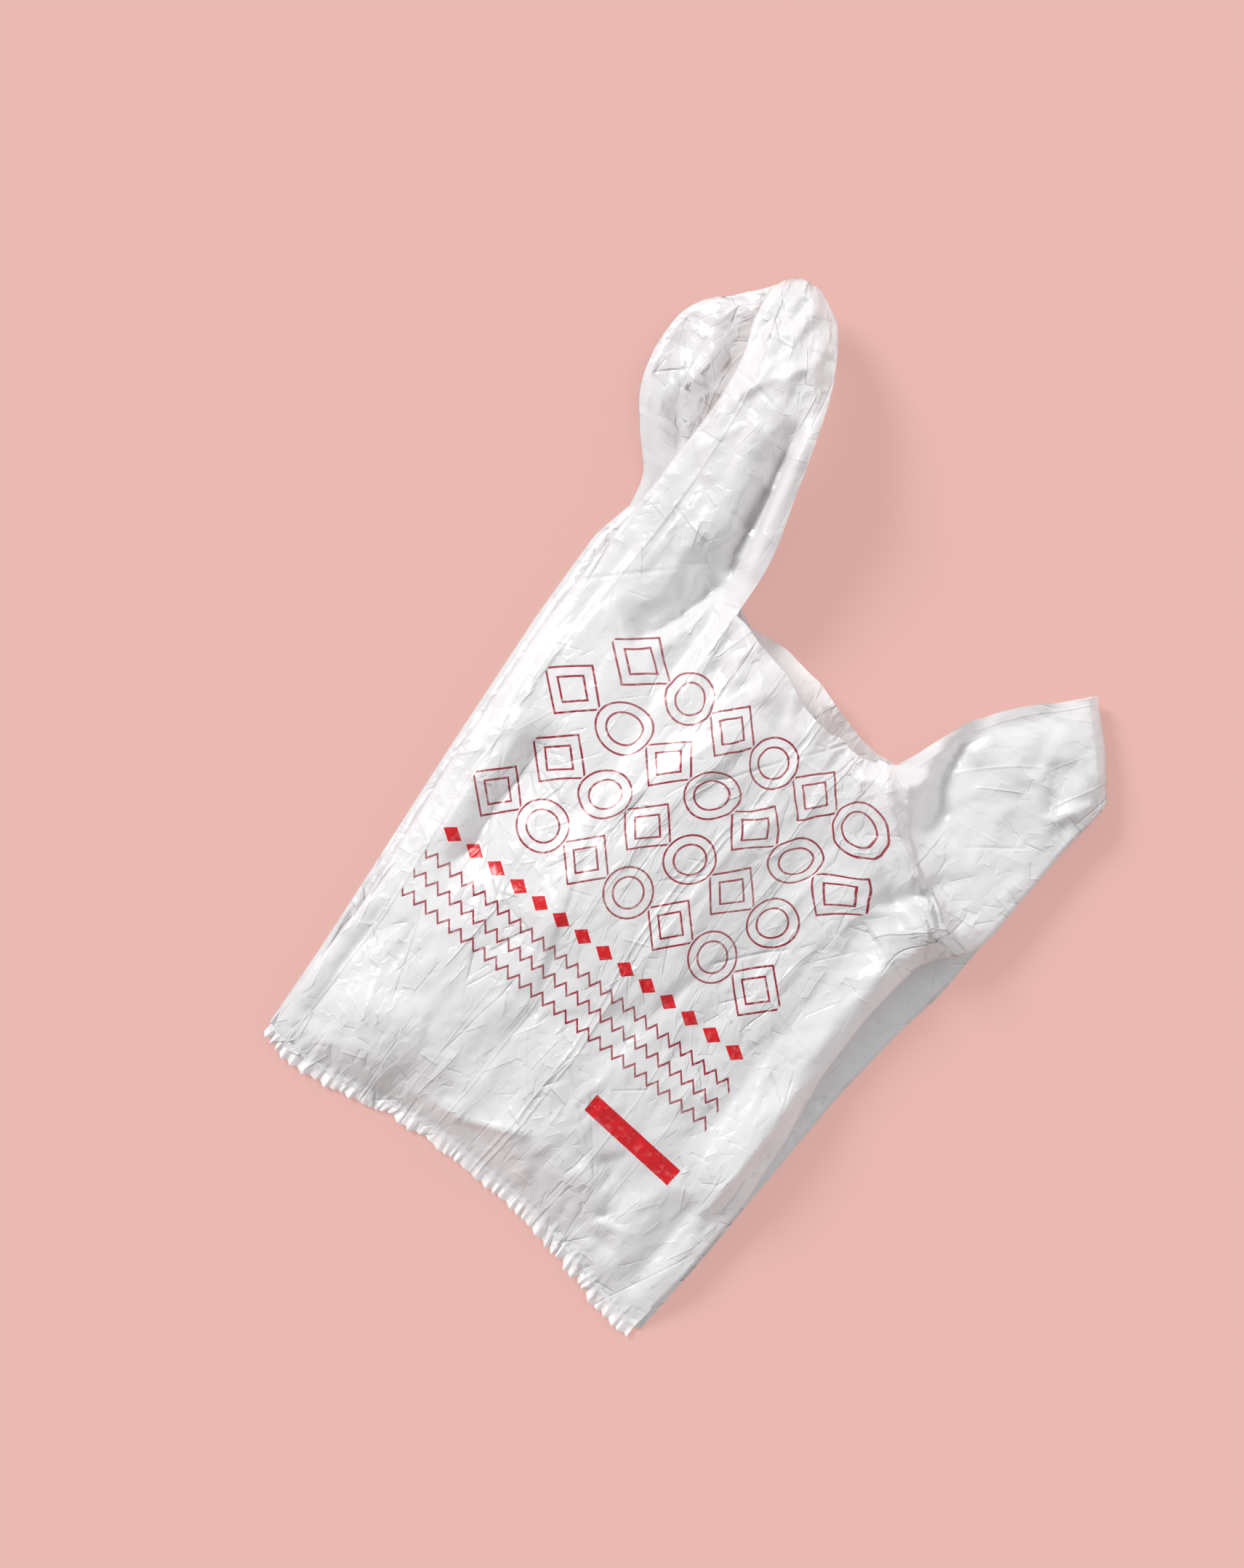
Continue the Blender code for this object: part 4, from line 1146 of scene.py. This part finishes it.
def film_u(x, y):
    """The place across the flat film of a point of the front panel."""
    places = panel_places(COLUMN_PITCH)
    row = front_panel(places, np.full((1, 1), y / BODY_LENGTH))[0, :, 0]
    return float(np.interp(x, row, places)) - PANEL_WIDTH / 2


def drawn_crease(u, v, start, end, half, height):
    """One straight crease from start to end."""
    length = math.dist(start, end)
    run_u, run_v = (end[0] - start[0]) / length, (end[1] - start[1]) / length
    over, up = u - start[0], v - start[1]
    away = over * -run_v + up * run_u
    onward = (over * run_u + up * run_v) / length
    ends = (onward.lowest(onward * -1 + 1) * DRAWN_GAIN + DRAWN_AT_END).clamped()
    inside = onward.math("GREATER_THAN", -DRAWN_PAST_END) * onward.math("LESS_THAN", 1 + DRAWN_PAST_END)
    return crest(away, half) * height * ends * inside


def film_height(tree, place, u, v):
    """The height of the film's sharp creases, in metres."""
    first, *others = [strewn_creases(tree, place, *layer) for layer in STREWN]
    total = sum(others, first) * varied(tree, place, *CALM)
    for at, half, height in PRESSED_LINES:
        total += crest(u - at, half) * height
    for points, half, height in DRAWN_CREASES:
        on_film = [(film_u(a * MM, b * MM), b * MM) for a, b in points]
        for start, end in zip(on_film, on_film[1:]):
            total += drawn_crease(u, v, start, end, half * MM, height * MM)
    return total


def film_material():
    material = bpy.data.materials.new("white_film")
    material.use_nodes = True
    tree = material.node_tree
    place = new_node(tree, "UVMap", {}, uv_map="film_place").outputs["UV"]
    u, v = split(tree, place)

    wear = varied(tree, place, *WEAR)
    dark_ink = motif_print(u, v).highest(zigzag_print(u, v)) * wear * varied(tree, place, *FADE)
    red_ink = lozenge_print(u, v).highest(bar_print(u, v)) * (wear * RED_WEAR + (1 - RED_WEAR))
    colour = WHITE
    for share, tint in ((noise(tree, place, *MOTTLE), PALE), (dark_ink, DARK_RED), (red_ink, RED)):
        inputs = {"Factor": share, "A": colour, "B": tint}
        colour = new_node(tree, "Mix", inputs, data_type="RGBA").outputs["Result"]

    inputs = {"Height": film_height(tree, place, u, v), "Strength": 1.0, "Distance": 1.0}
    normal = new_node(tree, "Bump", inputs).outputs["Normal"]
    shader = tree.nodes["Principled BSDF"]
    feed(shader, {
        "Base Color": colour, "Normal": normal, "Roughness": 0.28, "IOR": 1.5,
        "Coat Weight": 0.5, "Coat Roughness": 0.12,
    })
    through = new_node(tree, "BsdfTranslucent", {"Color": colour, "Normal": normal})
    blend(tree, TRANSLUCENT_SHARE, shader, through)
    return material


# The floor, the lights and the camera

FLOOR_COLOUR = (0.807, 0.479, 0.434, 1)
FLOOR_HALF = 3.0
FLOOR_GLOW = 0.6
WORLD_STRENGTH = 0.44

# The two soft lamps: name, strength, angle of its disc, height over the floor and direction, in degrees
LAMPS = (("key", 2.5, 20, 35, 172), ("fill", 0.85, 50, 36, 66))

# The photograph's view: straight down, turned, with this much of the floor along its height
VIEW_MIDDLE = (-0.0471, -0.0214)
VIEW_TURN = 37.7
VIEW_HEIGHT = 0.960
VIEW_DISTANCE = 2.4
VIEW_LEVEL = 0.015
SENSOR = 36


def make_floor():
    mesh = bpy.data.meshes.new("floor")
    corners = [(x * FLOOR_HALF, y * FLOOR_HALF, 0) for x, y in ((-1, -1), (1, -1), (1, 1), (-1, 1))]
    mesh.from_pydata(corners, [], [(0, 1, 2, 3)])
    material = bpy.data.materials.new("floor")
    material.use_nodes = True
    tree = material.node_tree
    shader = tree.nodes["Principled BSDF"]
    feed(shader, {"Base Color": FLOOR_COLOUR, "Roughness": 0.9, "Specular IOR Level": 0.1})
    glow = new_node(tree, "Emission", {"Color": FLOOR_COLOUR})
    seen = Term(tree, new_node(tree, "LightPath", {}).outputs["Is Camera Ray"])
    blend(tree, seen * FLOOR_GLOW, shader, glow)
    mesh.materials.append(material)
    floor = new_object("floor", mesh)


def make_lights():
    world = bpy.data.worlds.new("studio")
    world.use_nodes = True
    feed(world.node_tree.nodes["Background"], {"Color": (1, 1, 1, 1), "Strength": WORLD_STRENGTH})
    bpy.context.scene.world = world
    for name, strength, disc, elevation, azimuth in LAMPS:
        lamp = bpy.data.lights.new(name, "SUN")
        lamp.energy = strength
        lamp.angle = math.radians(disc)
        over, around = math.radians(elevation), math.radians(azimuth)
        flat = math.cos(over)
        towards = Vector((math.cos(around) * flat, math.sin(around) * flat, math.sin(over)))
        new_object(name, lamp).rotation_euler = towards.to_track_quat("Z", "Y").to_euler()


def make_camera():
    data = bpy.data.cameras.new("camera")
    data.sensor_width = SENSOR
    data.lens = SENSOR * VIEW_DISTANCE / VIEW_HEIGHT
    camera = new_object("camera", data)
    camera.location = (*VIEW_MIDDLE, VIEW_DISTANCE + VIEW_LEVEL)
    camera.rotation_euler = (0, 0, math.radians(VIEW_TURN))
    bpy.context.scene.camera = camera


make_camera()
make_floor()
make_lights()
bag = make_bag()
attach(bag, "root")
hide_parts("carrier_bag")

bpy.context.scene.view_settings.view_transform = "Standard"
